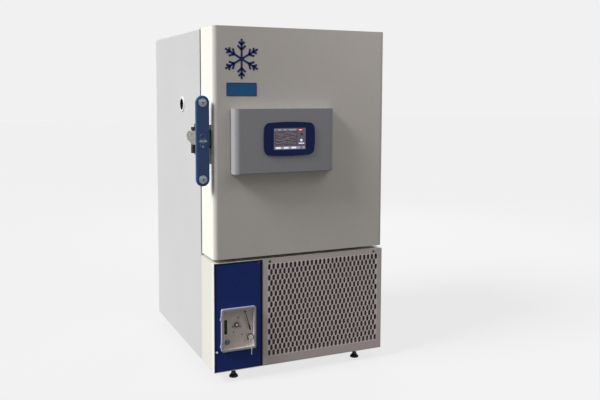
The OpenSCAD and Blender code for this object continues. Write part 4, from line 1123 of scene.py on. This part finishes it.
@dataclass
class Display:
    """What the touch screen shows: two bars, a chart with ten wavy traces, a column and signs.

    A patch is a place on the pane, given by two opposite corners.
    """

    clear: float = 0.0001
    thick: float = 0.0002
    margin: float = 0.004
    bars: tuple[Patch, ...] = ((0.0, 0.92, 0.72, 0.99), (0.0, 0.0, 1.0, 0.11))
    chart: Patch = (0.02, 0.20, 0.74, 0.86)
    alarm: Patch = (0.74, 0.885, 0.955, 1.0)
    column: Patch = (0.77, 0.19, 1.0, 0.865)
    column_bar: Patch = (0.79, 0.24, 0.98, 0.29)
    waves: tuple[Wave, ...] = (
        Wave(0.80, 0.020, 5.0, 0.4), Wave(0.75, 0.030, 4.0, 2.2), Wave(0.69, 0.035, 3.5, 1.2),
        Wave(0.63, 0.030, 5.0, 3.0), Wave(0.57, 0.035, 4.0, 0.9), Wave(0.51, 0.030, 3.0, 2.6),
        Wave(0.45, 0.035, 4.5, 1.7), Wave(0.39, 0.030, 3.5, 0.2), Wave(0.33, 0.030, 4.0, 2.9),
        Wave(0.27, 0.020, 5.0, 1.1),
    )

    def build(self) -> None:
        """Lays two layers of plates on the screen, the second on the first."""
        lo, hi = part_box("touch_screen")
        m = self.margin
        pane = Pane(lo[0] + m, lo[2] + m, hi[0] - lo[0] - 2 * m, hi[2] - lo[2] - 2 * m)
        bars = [pane.patch(*bar) for bar in self.bars]
        traces = [wave.drawn(pane) for wave in self.waves]
        under = (
            ("screen_bars", Look.UI_PALE, bars),
            ("screen_chart", Look.UI_CHART, [pane.patch(*self.chart)]),
            ("screen_alarm", Look.UI_RED, [pane.patch(*self.alarm)]),
            ("screen_column", Look.UI_BLUE, [pane.patch(*self.column)]),
        )
        over = (
            ("screen_traces", Look.UI_TRACE, traces[1::2]),
            ("screen_pale_traces", Look.UI_GRID, traces[::2]),
            ("screen_keys", Look.UI_WHITE, self._keys(pane)),
            ("screen_signs", Look.UI_DARK, self._signs(pane)),
        )
        door = Shaper("door")
        plane = lo[1] - self.clear / 2
        for layer in (under, over):
            for name, look, shapes in layer:
                door.prism(name, shapes, plane, self.thick, look)
            plane -= self.thick

    def _keys(self, pane: Pane) -> list[Outline]:
        """Three bright buttons, one bright lamp, a pale bar in the column and one at the top.

        Args:
            pane: where they are drawn.

        Returns:
            Their outlines.
        """
        buttons = [rounded(*pane.at(u, 0.055), 0.024, 0.0085, 0.003, 4) for u in (0.12, 0.38, 0.63)]
        lamp = disc(*pane.at(0.88, 0.42), 0.0060)
        top_bar = rounded(*pane.at(0.85, 0.94), 0.016, 0.0035, 0.0015, 3)
        return [*buttons, lamp, pane.patch(*self.column_bar), top_bar]

    @staticmethod
    def _signs(pane: Pane) -> list[Outline]:
        """Dark marks: a bell, three blocks in the status bar and an arrow.

        Args:
            pane: where they are drawn.

        Returns:
            Their outlines.
        """
        x, z = pane.at(0.89, 0.72)
        bell = ((-0.007, -0.004), (0.007, -0.004), (0.004, 0.004), (0.0, 0.007), (-0.004, 0.004))
        blocks = [rounded(*pane.at(u, 0.95), 0.012, 0.0035, 0.001, 2) for u in (0.07, 0.25, 0.43)]
        tip_x, tip_z = pane.at(0.89, 0.065)
        arrow = ((-0.006, -0.004), (0.006, 0.0), (-0.006, 0.004))
        return [
            [(x + u, z + v) for u, v in bell],
            *blocks,
            [(tip_x + u, tip_z + v) for u, v in arrow],
        ]


@dataclass
class Emblem:
    """A plain six-armed ice crystal on the door, as many freezers carry, over a blank plate."""

    x_share: float = 0.155
    z_share: float = 0.862
    radius: float = 0.092
    core_r: float = 0.010
    core_gap: float = 0.006
    twigs: tuple[Spot, ...] = ((0.45, 0.30), (0.70, 0.22))
    bar: float = 0.0100
    clear: float = 0.0001
    thick: float = 0.0006
    plate_w: float = 0.148
    plate_h: float = 0.062
    plate_down: float = 0.140
    plate_t: float = 0.0008
    rim: float = 0.003
    rim_t: float = 0.0012

    def build(self) -> None:
        """Lays the crystal and the plate on the door's front."""
        lo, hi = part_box("door_skin")
        x = lo[0] + self.x_share * (hi[0] - lo[0])
        z = lo[2] + self.z_share * (hi[2] - lo[2])
        door = Shaper("door")
        door.prism("door_crystal", self._crystal(x, z), lo[1] - self.clear, self.thick, Look.MARK)
        spot, w, h = (x, z - self.plate_down), self.plate_w, self.plate_h
        outer = rounded(*spot, w, h, 0.004, 4)
        inner = rounded(*spot, w - 2 * self.rim, h - 2 * self.rim, 0.002, 4)
        door.prism("door_blank_plate", [inner], lo[1], self.plate_t, Look.NAMEPLATE)
        rim = split_ring(outer, inner)
        door.prism("door_blank_plate_rim", rim, lo[1], self.rim_t, Look.MARK)

    def _crystal(self, x: float, z: float) -> list[Outline]:
        """The crystal's arms, each with two pairs of twigs, and its core.

        Args:
            x: its middle along X.
            z: its middle along Z.

        Returns:
            One outline for each bar.
        """
        shapes = []
        for k in range(6):
            a = math.pi / 6 + k * math.pi / 3
            shapes.append(self._bar(x, z, a, self.core_gap, self.radius))
            for share, length in self.twigs:
                foot_x = x + self.radius * share * math.cos(a)
                foot_z = z + self.radius * share * math.sin(a)
                for turn in (-math.pi / 4, math.pi / 4):
                    shapes.append(self._bar(foot_x, foot_z, a + turn, 0.0, self.radius * length))
        return [*shapes, disc(x, z, self.core_r)]

    def _bar(self, x: float, z: float, angle: float, start: float, end: float) -> Outline:
        """One straight bar that points away from a middle, from start to end."""
        c, s = math.cos(angle), math.sin(angle)
        return ribbon([(x + start * c, z + start * s), (x + end * c, z + end * s)], self.bar)


@dataclass
class Housing:
    """The control box's shell with its two front corners rounded."""

    corner: float = 0.030
    inset: float = 0.012
    soft: float = 0.0018
    steps: int = 12
    seam: float = 0.008
    join_shade_t: float = 0.0006
    highlight_deg: float = 42.0
    highlight_gap: float = 0.001

    def build(self) -> None:
        """Makes the shell, which stands for the CAD's own, with a painted highlight band on its
        left fold, a strip of painted shade along its join with the door, and its foot.
        """
        lo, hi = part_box("control_housing")
        left, low, tall = lo[0] + self.inset, lo[2] + self.soft, hi[2] - lo[2]
        soft, grey_paint = self.soft, Look.PANEL_GREY
        plan = self._plan(left, lo, hi)
        door = Shaper("door", Facing.UP)
        shell = door.prism("control_shell", [plan], low, tall - soft, grey_paint, soft, True)
        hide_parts("control_housing")
        r = self.corner
        # A paler band round the shell's left corner: painted highlight.
        highlight_band = [edge_band((left + r, lo[1] + r), r, hi[1] - self.highlight_gap, self.highlight_deg)]
        highlight_tall = tall - 2 * soft
        door.prism("control_shell_fold", highlight_band, low, highlight_tall, Look.PANEL_FOLD, 0.0, True)
        up = (lo[2] + hi[2]) / 2
        # A dark strip on the shell's left side next to the door: painted shade at the join.
        seam = [rounded(hi[1] - self.seam / 2, up, self.seam, tall - 0.004, 0.001, 2)]
        side = Shaper("door", Facing.LEFT)
        side.prism("control_shell_seam", seam, left, self.join_shade_t, Look.SEAM)
        under, foot = Shaper("door", Facing.DOWN), lo[2] + 2 * soft
        under.prism("control_shell_foot", [plan], foot, 2 * soft, grey_paint, soft, True)

    def _plan(self, left: float, lo: Point, hi: Point) -> Outline:
        """The shell seen from above.

        Args:
            left: its left side.
            lo: the CAD box's lowest corner.
            hi: the CAD box's highest corner.

        Returns:
            The outline along X and Y.
        """
        r = self.corner
        plan: Outline = [(hi[0], hi[1]), (left, hi[1])]
        for middle_x, start in ((left + r, math.pi), (hi[0] - r, 1.5 * math.pi)):
            for i in range(self.steps + 1):
                a = start + math.pi / 2 * i / self.steps
                plan.append((middle_x + r * math.cos(a), lo[1] + r + r * math.sin(a)))
        return plan


@dataclass
class Bezel:
    """The display's frame: a pillow shape with round corners and an opening for the screen."""

    corner: float = 0.022
    rise: float = 0.007
    deep: float = 0.0058
    gap: float = 0.0002

    def build(self) -> None:
        """Makes the frame, which stands for the CAD's own."""
        lo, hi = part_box("control_bezel")
        s_lo, s_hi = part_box("touch_screen")
        x, _, z = centre(lo, hi)
        a, b = (hi[0] - lo[0]) / 2, (hi[2] - lo[2]) / 2
        core = rounded(0.0, 0.0, 2 * (a - self.rise), 2 * (b - self.rise), self.corner, 8)
        outer = []
        for u, v in dense(core):
            du, dv = self._swell(u, v, a, b), self._swell(v, u, b, a)
            outer.append((x + u + du, z + v + dv))
        g = self.gap
        hole = rect(s_lo[0] - g, s_lo[2] - g, s_hi[0] + g, s_hi[2] + g)
        door, plane = Shaper("door"), lo[1] + self.deep
        frame = door.pierced("display_frame", outer, [hole], plane, self.deep, Look.BEZEL)
        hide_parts("control_bezel")

    def _swell(self, along: float, across: float, half: float, half_across: float) -> float:
        """How far a point of the core's outline moves outward one way.

        Args:
            along: the point's place that way, from the middle.
            across: its place the other way.
            half: half the frame's size that way.
            half_across: half its size the other way.

        Returns:
            The way outward, most at the middle of each side.
        """
        near_side = min(1.0, abs(along) / (half - 2 * self.corner))
        return math.copysign(self.rise, along) * (1 - (across / half_across) ** 2) * near_side


@dataclass
class DoorEdgeHighlight:
    """A paler copy of the door's paint along its latch side, which turns into its rounded corner:
    painted highlight where that side faces the key light.
    """

    corner: float = 0.022
    sweep_deg: float = 32.0
    back_gap: float = 0.001
    end_gap: float = 0.002

    def build(self) -> None:
        """Fits the painted highlight sheet."""
        lo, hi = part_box("door_skin")
        r, low = self.corner, lo[2] + self.end_gap
        band = edge_band((lo[0] + r, lo[1] + r), r, hi[1] - self.back_gap, self.sweep_deg)
        tall = hi[2] - lo[2] - 2 * self.end_gap
        door = Shaper("door", Facing.UP)
        # The sheet is painted highlight laid over the door's own paint.
        door.prism("door_edge_sheet", [band], low, tall, Look.DOOR_CREAM, 0.0, True)


@dataclass
class GripTrim:
    """The pull bar's fittings: washers round its two screws, and its key lock."""

    screw_r: float = 0.013
    washer_r: float = 0.0195
    washer_t: float = 0.0016
    washer_gap: float = 0.0002
    shade_ring_w: float = 0.0024
    shade_ring_t: float = 0.0004
    cross_l: float = 0.0130
    cross_w: float = 0.0030
    ring_up: float = 0.0185
    low_ring_down: float = 0.0205
    rivet_down: float = 0.0245
    cover_down: float = 0.003
    cover_w: float = 0.036
    cover_h: float = 0.070
    cover_r: float = 0.0178
    lobe_out: float = 0.0125
    lobe_r: float = 0.0056

    def build(self) -> None:
        """Fits the washers, the lock's plate and rings, and the wing that turns with it."""
        lo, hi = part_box("grip_screws")
        bar_lo, bar_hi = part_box("grip_bar")
        front = bar_lo[1]
        x, _, z = centre(bar_lo, bar_hi)
        spots = [(x, lo[2] + self.screw_r), (x, hi[2] - self.screw_r)]
        latch = Shaper("latch")
        washer = collar(self.screw_r - self.washer_gap, self.washer_r, self.washer_t)
        latch.turned("grip_washers", spots, washer, front, Look.WASHER, 48)
        # A dark ring round each washer: painted shade of the groove it sits in.
        ring_profile = collar(self.washer_r, self.washer_r + self.shade_ring_w, self.shade_ring_t, 0.0001)
        latch.turned("grip_washer_seats", spots, ring_profile, front, Look.GRIP_SHADE, 48)
        # Dark crosses on the screw heads: painted shade inside their cross recesses.
        crosses = [bar for spot in spots for bar in cross(*spot, self.cross_l, self.cross_w)]
        latch.prism("grip_screw_marks", crosses, front - 0.0026, 0.0018, Look.GRIP_SHADE)
        self._lock(latch, x, z, front)

    def _lock(self, latch: Shaper, x: float, z: float, front: float) -> None:
        """Fits the lock's cover plate, rings and rivet, and the wing on its cylinder.

        Args:
            latch: makes pieces on the latch.
            x: the lock's middle along X.
            z: the lock's middle along Z.
            front: the bar's front plane.
        """
        down, w, h = self.cover_down, self.cover_w, self.cover_h
        cover = rounded(x, z - down, w, h, self.cover_r, 8)
        latch.prism("lock_plate", [cover], front, 0.0010, Look.GRIP, 0.0004)
        top, low = collar(0.0105, 0.0150, 0.0020), collar(0.0092, 0.0132, 0.0018)
        rivet = dome(0.0048, 0.0022)
        fittings = (
            ("lock_top_ring", self.ring_up, top, Look.GRIP_RING, 40),
            ("lock_low_ring", -self.low_ring_down, low, Look.GRIP_RING, 36),
            ("lock_rivet", -self.rivet_down, rivet, Look.WASHER, 24),
        )
        for name, up, profile, look, steps in fittings:
            latch.turned(name, [(x, z + up)], profile, front, look, steps)
        wing = Shaper("key_lock")
        lobes = [disc(x + out, z, self.lobe_r, 24) for out in (-self.lobe_out, self.lobe_out)]
        wing.prism("lock_wing", lobes, front - 0.0025, 0.0030, Look.WASHER, 0.0008)
        web = [rounded(x, z, 0.026, 0.0060, 0.001, 2)]
        wing.prism("lock_wing_web", web, front - 0.0024, 0.0024, Look.WASHER, 0.0006)


@dataclass
class Hook:
    """The latch's casting with the soft corners and the tapered end of a real casting."""

    data: dict
    half: float = 0.031
    hub_r: float = 0.009
    arm_out: float = 0.046
    arm_t: float = 0.018
    arm_start: float = 0.020
    claw_w: float = 0.0130
    claw_l: float = 0.030
    claw_t: float = 0.020
    strap_t: float = 0.006
    strap_w: float = 0.038
    soft: float = 0.005

    def build(self) -> None:
        """Makes the arm, claw, web, hub and strap, which stand for the CAD's casting."""
        lo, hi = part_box("latch_lever")
        bar_lo, bar_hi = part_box("grip_bar")
        joints = {j["name"]: j["pos_m"] for j in self.data["record"]["behaviour"]["joints"]}
        px, py, z = joints["latch_pull"]
        bar_x = (bar_lo[0] + bar_hi[0]) / 2
        outer, end = px - self.arm_out, hi[1]
        inner = outer + self.arm_t
        left, right = Shaper("latch", Facing.LEFT), Shaper("latch", Facing.RIGHT)
        arm = self._arm(py + self.arm_start, end, z)
        piece = left.prism("latch_arm", [arm], inner, self.arm_t, Look.CAST, self.soft)
        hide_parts("latch_lever")
        claw = [rounded(end - self.claw_w / 2, z + 0.004, self.claw_w, self.claw_l, 0.0045, 4)]
        right.prism("latch_claw", claw, inner - 0.002, self.claw_t, Look.CAST, 0.002)
        strap_y = bar_hi[1] + self.strap_t
        web = [
            (px - 0.004, py - 0.008), (px - 0.006, py + 0.0067),
            (outer, py + 0.042), (outer, strap_y),
            (bar_x + 0.014, strap_y - 0.001), (bar_x + 0.017, strap_y - 0.001),
        ]
        hub = disc(px, py, self.hub_r, 24)
        up, low, tall = Shaper("latch", Facing.UP), z - self.half, 2 * self.half
        up.prism("latch_web", [web], low, tall, Look.CAST, 0.003)
        up.prism("latch_hub", [hub], low, tall, Look.CAST, 0.002)
        w = self.strap_w
        strap = rounded(bar_x, (lo[2] + hi[2]) / 2, w, hi[2] - lo[2], w / 2 - 1e-4, 8)
        Shaper("latch").prism("latch_strap", [strap], strap_y, self.strap_t, Look.CAST, 0.001)

    def _arm(self, start: float, end: float, z: float) -> Outline:
        """The arm seen from the side: full height near the hub, tapered towards the hook.

        Args:
            start: its near end along Y.
            end: its far end along Y.
            z: its middle height.

        Returns:
            The outline along Y and Z.
        """
        h = self.half
        taper = ((0.108, -h), (0.068, -0.027), (0.026, -0.015), (0.006, -0.006), (0.0, 0.003))
        crown = ((0.002, 0.012), (0.010, 0.021), (0.026, 0.028), (0.048, h))
        far = [(end - back, z + up) for back, up in taper + crown]
        return [(start, z - h), *far, (start, z + h)]


@dataclass
class RecorderTrim:
    """Small fittings of the chart recorder, behind and on its window."""

    hub_up: float = 0.017
    hub_left: float = 0.0065
    clip_turns: Spot = (28.0, 152.0)
    plate_back: float = 0.0068
    knob_in: float = 0.0248
    knob_down: float = 0.062
    knob: tuple[Spot, ...] = (
        (0.0, 0.0074), (0.0088, 0.0070), (0.0108, 0.0050),
        (0.0132, 0.0030), (0.0140, 0.0), (0.0, 0.0),
    )
    holes: tuple[Spot, ...] = ((0.010, 0.034), (-0.015, -0.035), (0.029, -0.052))
    hole_r: float = 0.0042
    slot_in: float = 0.0168
    slot_up: float = 0.010
    slot_w: float = 0.0165
    slot_h: float = 0.0715
    lining_t: float = 0.0004
    lock_r: float = 0.011
    lock_gap: float = 0.0002

    def build(self) -> None:
        """Fits the hub's ring and cap, the knob, the lock's surround, and black backing behind the
        plate's slot and holes as painted shade of the case's dark inside.
        """
        lo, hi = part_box("chart_plate")
        x, _, z = centre(lo, hi)
        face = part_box("chart_hub")[0][1]
        hub = (x - self.hub_left, z + self.hub_up)
        self._hub(hub, face)
        cabinet = Shaper("cabinet")
        plate = face + self.plate_back
        knob = (lo[0] + self.knob_in, z - self.knob_down)
        cabinet.turned("recorder_knob", [knob], list(self.knob), plate, Look.KNOB_BLUE, 36)
        # A dark bar on the knob's top: painted shade of its slot.
        mark = rounded(*knob, 0.0150, 0.0022, 0.0008, 2)
        top = plate - self.knob[1][1]
        cabinet.prism("recorder_knob_slot", [mark], top - 0.0003, 0.0004, Look.GRIP_SHADE)
        at = (lo[0] + self.slot_in, z + self.slot_up)
        slot = rounded(*at, self.slot_w, self.slot_h, 0.0015, 2)
        spots = [disc(hub[0] + u, hub[1] + v, self.hole_r, 16) for u, v in self.holes]
        # Black pieces behind the slot and holes: painted shade for the dark inside of the case.
        dark = [slot, *spots]
        cabinet.prism("recorder_openings", dark, plate + 0.0034, 0.0010, Look.BLACK_PLASTIC)
        self._lining(cabinet, lo, hi, plate)
        self._lock_seat()

    def _hub(self, hub: Spot, face: float) -> None:
        """Fits the chart hub's ring, cap and two paper clips.

        Args:
            hub: the hub's middle.
            face: its front plane.
        """
        chart = Shaper("chart")
        ring = collar(0.0070, 0.0130, 0.0012)
        chart.turned("hub_ring", [hub], ring, face + 0.0030, Look.BRONZE, 40)
        chart.turned("hub_cap", [hub], dome(0.0052, 0.0024), face, Look.DULL, 28)
        clips = [self._clip(hub, turn) for turn in self.clip_turns]
        chart.prism("hub_clips", clips, face + 0.0054, 0.0008, Look.BRONZE)

    @staticmethod
    def _clip(hub: Spot, down_deg: float) -> Outline:
        """One of the hub's paper clips.

        Args:
            hub: the hub's middle.
            down_deg: how far the clip turns down from +X.

        Returns:
            Its outline.
        """
        c, s = math.cos(math.radians(down_deg)), -math.sin(math.radians(down_deg))
        ends = [(hub[0] + r * c, hub[1] + r * s) for r in (0.012, 0.0262)]
        return ribbon(ends, 0.0027)

    def _lining(self, cabinet: Shaper, lo: Point, hi: Point, plate: float) -> None:
        """Lines the case's four inner walls with the plate's own sheet.

        Args:
            cabinet: makes pieces on the cabinet.
            lo: the plate's lowest corner.
            hi: the plate's highest corner.
            plate: the plate's front plane.
        """
        x0, z0, x1, z1, t = lo[0], lo[2], hi[0], hi[2], self.lining_t
        walls = [
            rect(x0, z0, x0 + t, z1), rect(x1 - t, z0, x1, z1),
            rect(x0, z0, x1, z0 + t), rect(x0, z1 - t, x1, z1),
        ]
        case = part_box("recorder_case")[0][1]
        cabinet.prism("recorder_lining", walls, plate, plate - case, Look.PLATE)

    def _lock_seat(self) -> None:
        """Fits the ring round the recorder's lock."""
        lo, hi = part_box("recorder_lock")
        lock = ((lo[0] + hi[0]) / 2, hi[2] - self.lock_r)
        ring_profile = collar(self.lock_r + self.lock_gap, 0.0175, 0.0018)
        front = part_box("recorder_window")[0][1]
        door = Shaper("chart_door")
        door.turned("recorder_lock_seat", [lock], ring_profile, front, Look.BRONZE, 40)


@dataclass
class PanelTrim:
    """Small trim of the base's front: screw marks, the corner's trim and painted shade along the
    fascia's edges.
    """

    head_r: float = 0.006
    corner_w: float = 0.0024
    corner_deep: float = 0.029
    corner_t: float = 0.0004
    soft: float = 0.0008
    shade_t: float = 0.0003
    shade_left: float = 0.007
    shade_right: float = 0.011
    shade_top: float = 0.006

    def build(self) -> None:
        """Marks the screw heads, and fits the corner's trim and the painted shade along the
        fascia's edges.
        """
        lo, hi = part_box("panel_screws")
        r, front = self.head_r, lo[1]
        low, high = (lo[0] + r, lo[2] + r), (hi[0] - r, hi[2] - r)
        crosses = [bar for spot in (low, high) for bar in cross(*spot, 0.0056, 0.0011)]
        cabinet = Shaper("cabinet")
        cabinet.prism("panel_screw_marks", crosses, front + 0.0016, 0.0008, Look.BRIGHT)
        cap = dome(0.0052, 0.0016)
        cabinet.turned("fascia_screw_cap", [low], cap, front + 0.0014, Look.BRIGHT, 24)
        self._corner(cabinet)
        self._edge_shade(cabinet)

    def _corner(self, cabinet: Shaper) -> None:
        """Fits the pale trim down the base's left front corner.

        Args:
            cabinet: makes pieces on the cabinet's front.
        """
        lo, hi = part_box("base_front_surround")
        up, tall, t = (lo[2] + hi[2]) / 2, hi[2] - lo[2] - 0.002, self.corner_t
        w, deep = self.corner_w, self.corner_deep
        front = [rounded(lo[0] + w / 2, up, w, tall, self.soft, 3)]
        cabinet.prism("base_corner_front", front, lo[1], t, Look.RING_WHITE)
        side = [rounded(lo[1] + deep / 2, up, deep, tall, self.soft, 3)]
        Shaper("cabinet", Facing.LEFT).prism("base_corner_side", side, lo[0], t, Look.RING_WHITE)

    def _edge_shade(self, cabinet: Shaper) -> None:
        """Paints shade along the blue fascia's left, right and top edges, where the gaps round it
        fall in shadow.

        Args:
            cabinet: makes pieces on the cabinet's front.
        """
        lo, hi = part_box("blue_fascia")
        x, _, up = centre(lo, hi)
        tall, soft = hi[2] - lo[2], self.soft
        left, right, top = self.shade_left, self.shade_right, self.shade_top
        shade_strips = [
            rounded(lo[0] + left / 2, up, left, tall, soft, 2),
            rounded(hi[0] - right / 2, up, right, tall, soft, 2),
            rounded(x, hi[2] - top / 2, hi[0] - lo[0], top, soft, 2),
        ]
        cabinet.prism("fascia_folds", shade_strips, lo[1], self.shade_t, Look.NAVY_SHADE)


@dataclass
class Port:
    """The dark soft sleeve that lines the mouth of the side port's ring."""

    mouth: float = 0.0274
    wall: float = 0.0016
    deep: float = 0.012
    lip: float = 0.0008

    def build(self) -> None:
        """Fits the sleeve in the ring."""
        lo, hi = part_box("port_ring")
        _, y, z = centre(lo, hi)
        inner, outer = self.mouth - self.wall, self.mouth + self.wall
        profile = [
            (inner, -self.deep), (inner, self.lip), (outer, self.lip), (outer, 0.0),
            (self.mouth, 0.0), (self.mouth, -self.deep),
        ]
        side = Shaper("cabinet", Facing.LEFT)
        side.turned("port_lip", [(y, z)], profile, lo[0], Look.BLACK_PLASTIC, 48)


@dataclass
class Grille:
    """The base's perforated panel: one thin pierced sheet with staggered rows of upright slots."""

    pitch_x: float = 0.0226
    pitch_z: float = 0.0265
    slot_w: float = 0.0136
    slot_l: float = 0.0285
    cell_w: float = 0.0125
    cell_l: float = 0.0240
    border: float = 0.024
    under: float = 0.043
    over: float = 0.025
    margin: float = 0.003
    thick: float = 0.0012
    sill_h: float = 0.020
    sill_back: float = 0.0050

    def build(self) -> None:
        """Makes the sheet, which stands for the CAD's panel, and the sill of the filter behind."""
        lo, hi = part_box("grille_panel")
        slots = self._slots(lo, hi)
        us = [u for slot in slots for u, _ in slot]
        vs = [v for slot in slots for _, v in slot]
        m, t = self.margin, self.thick
        field = rect(min(us) - m, min(vs) - m, max(us) + m, max(vs) + m)
        whole = rect(lo[0], lo[2], hi[0], hi[2])
        cabinet, plane = Shaper("cabinet"), lo[1] + t
        piece = cabinet.pierced("grille_field", field, slots, plane, t, Look.GRILLE_LAND)
        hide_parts("grille_panel")
        cabinet.pierced("grille_border", whole, [field], plane, t, Look.GRILLE_GREY)
        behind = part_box("air_filter")[0]
        x, wide = (lo[0] + hi[0]) / 2, hi[0] - lo[0]
        sill = [rounded(x, behind[2] - 0.004, wide, self.sill_h, 0.001, 2)]
        cabinet.prism("filter_sill", sill, lo[1] + self.sill_back, 0.0010, Look.FILTER)

    def _slots(self, lo: Point, hi: Point) -> list[Outline]:
        """The slots' outlines, at the CAD's own places, which follow from its own smaller cells.

        Args:
            lo: the panel's lowest corner.
            hi: the panel's highest corner.

        Returns:
            One outline for each slot.
        """
        wide, tall = hi[0] - lo[0] - 2 * self.border, hi[2] - lo[2] - self.under - self.over
        cols = math.floor((wide - self.cell_w) / self.pitch_x) + 1
        rows = math.floor((tall - self.cell_l) / self.pitch_z) + 1
        x, z = (lo[0] + hi[0]) / 2, (lo[2] + self.under + hi[2] - self.over) / 2
        w, tall_slot = self.slot_w, self.slot_l
        slots = []
        for j in range(rows):
            last = cols - 1 - j % 2
            for i in range(last + 1):
                u = x + (i - last / 2) * self.pitch_x
                v = z + (j - (rows - 1) / 2) * self.pitch_z
                slots.append(rounded(u, v, w, tall_slot, w / 2 - 1e-5, 3))
        return slots


@dataclass
class PullTrim:
    """Steel lips round the inner doors' finger pulls."""

    lip: float = 0.0035
    lip_t: float = 0.0012
    sink: float = 0.0001
    pull_w: float = 0.018
    pull_h: float = 0.090
    pull_in: float = 0.022

    def build(self) -> None:
        """Fits a lip to each inner door."""
        w, h, lip = self.pull_w, self.pull_h, self.lip
        for level in ("low", "middle", "high"):
            lo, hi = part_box(f"inner_door_{level}")
            x, z = lo[0] + self.pull_in, (lo[2] + hi[2]) / 2
            outer = rounded(x, z, w + 2 * lip, h + 2 * lip, w / 2 + lip, 8)
            inner = rounded(x, z, w, h, w / 2, 8)
            ring, plane = split_ring(outer, inner), lo[1] + self.sink
            door = Shaper(f"inner_{level}")
            door.prism(f"pull_lip_{level}", ring, plane, self.lip_t, Look.BRIGHT)


@dataclass
class WheelTrim:
    """Pale hub caps on both sides of the four wheels."""

    cap_r: float = 0.017
    rise: float = 0.0022

    def build(self) -> None:
        """Caps each wheel."""
        cap = dome(self.cap_r, self.rise)
        for end in ("front", "rear"):
            for side in ("left", "right"):
                node = f"wheel_{end}_{side}"
                lo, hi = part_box(node)
                _, y, z = centre(lo, hi)
                body = f"{end}_wheel_{side}"
                for facing, plane in ((Facing.LEFT, lo[0]), (Facing.RIGHT, hi[0])):
                    name = f"hub_cap_{end}_{side}_{facing.name.lower()}"
                    Shaper(body, facing).turned(name, [(y, z)], cap, plane, Look.SHEET, 28)


@dataclass
class RearTrim:
    """Rows of small screws that hold the two sheets at the back."""

    head_r: float = 0.0045
    rise: float = 0.0022
    inset: float = 0.012
    end_gap: float = 0.06
    sheet: float = 0.0012

    def build(self) -> None:
        """Fits the screws."""
        back = Shaper("cabinet", Facing.BACK)
        head, inset = dome(self.head_r, self.rise), self.inset
        lo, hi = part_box("rear_grille")
        across = self._spread(lo[0] + inset, hi[0] - inset, 5)
        spots = [(x, z) for x in across for z in (lo[2] + inset, hi[2] - inset)]
        back.turned("rear_grille_screws", spots, head, hi[1], Look.ZINC, 20)
        lo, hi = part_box("back_panel")
        up = self._spread(lo[2] + self.end_gap, hi[2] - self.end_gap, 6)
        spots = [(x, z) for z in up for x in (lo[0] + inset, hi[0] - inset)]
        back.turned("back_panel_screws", spots, head, lo[1] + self.sheet, Look.ZINC, 20)

    @staticmethod
    def _spread(start: float, end: float, count: int) -> list[float]:
        """Even places from start to end."""
        return [start + (end - start) * i / (count - 1) for i in range(count)]


# ---------------------------------------------------------------- the whole


def main() -> None:
    """Builds the scene in order."""
    logging.basicConfig(level=logging.INFO, format="%(name)s: %(message)s")
    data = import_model()
    parts: tuple[Part, ...] = (
        Studio(), Frame(data), Display(), Emblem(), Housing(), Bezel(), DoorEdgeHighlight(), GripTrim(),
        Hook(data), RecorderTrim(), PanelTrim(), Port(), Grille(), PullTrim(), WheelTrim(),
        RearTrim(),
    )
    for part in parts:
        LOG.info("building %s", type(part).__name__)
        part.build()


if __name__ == "__main__":
    main()
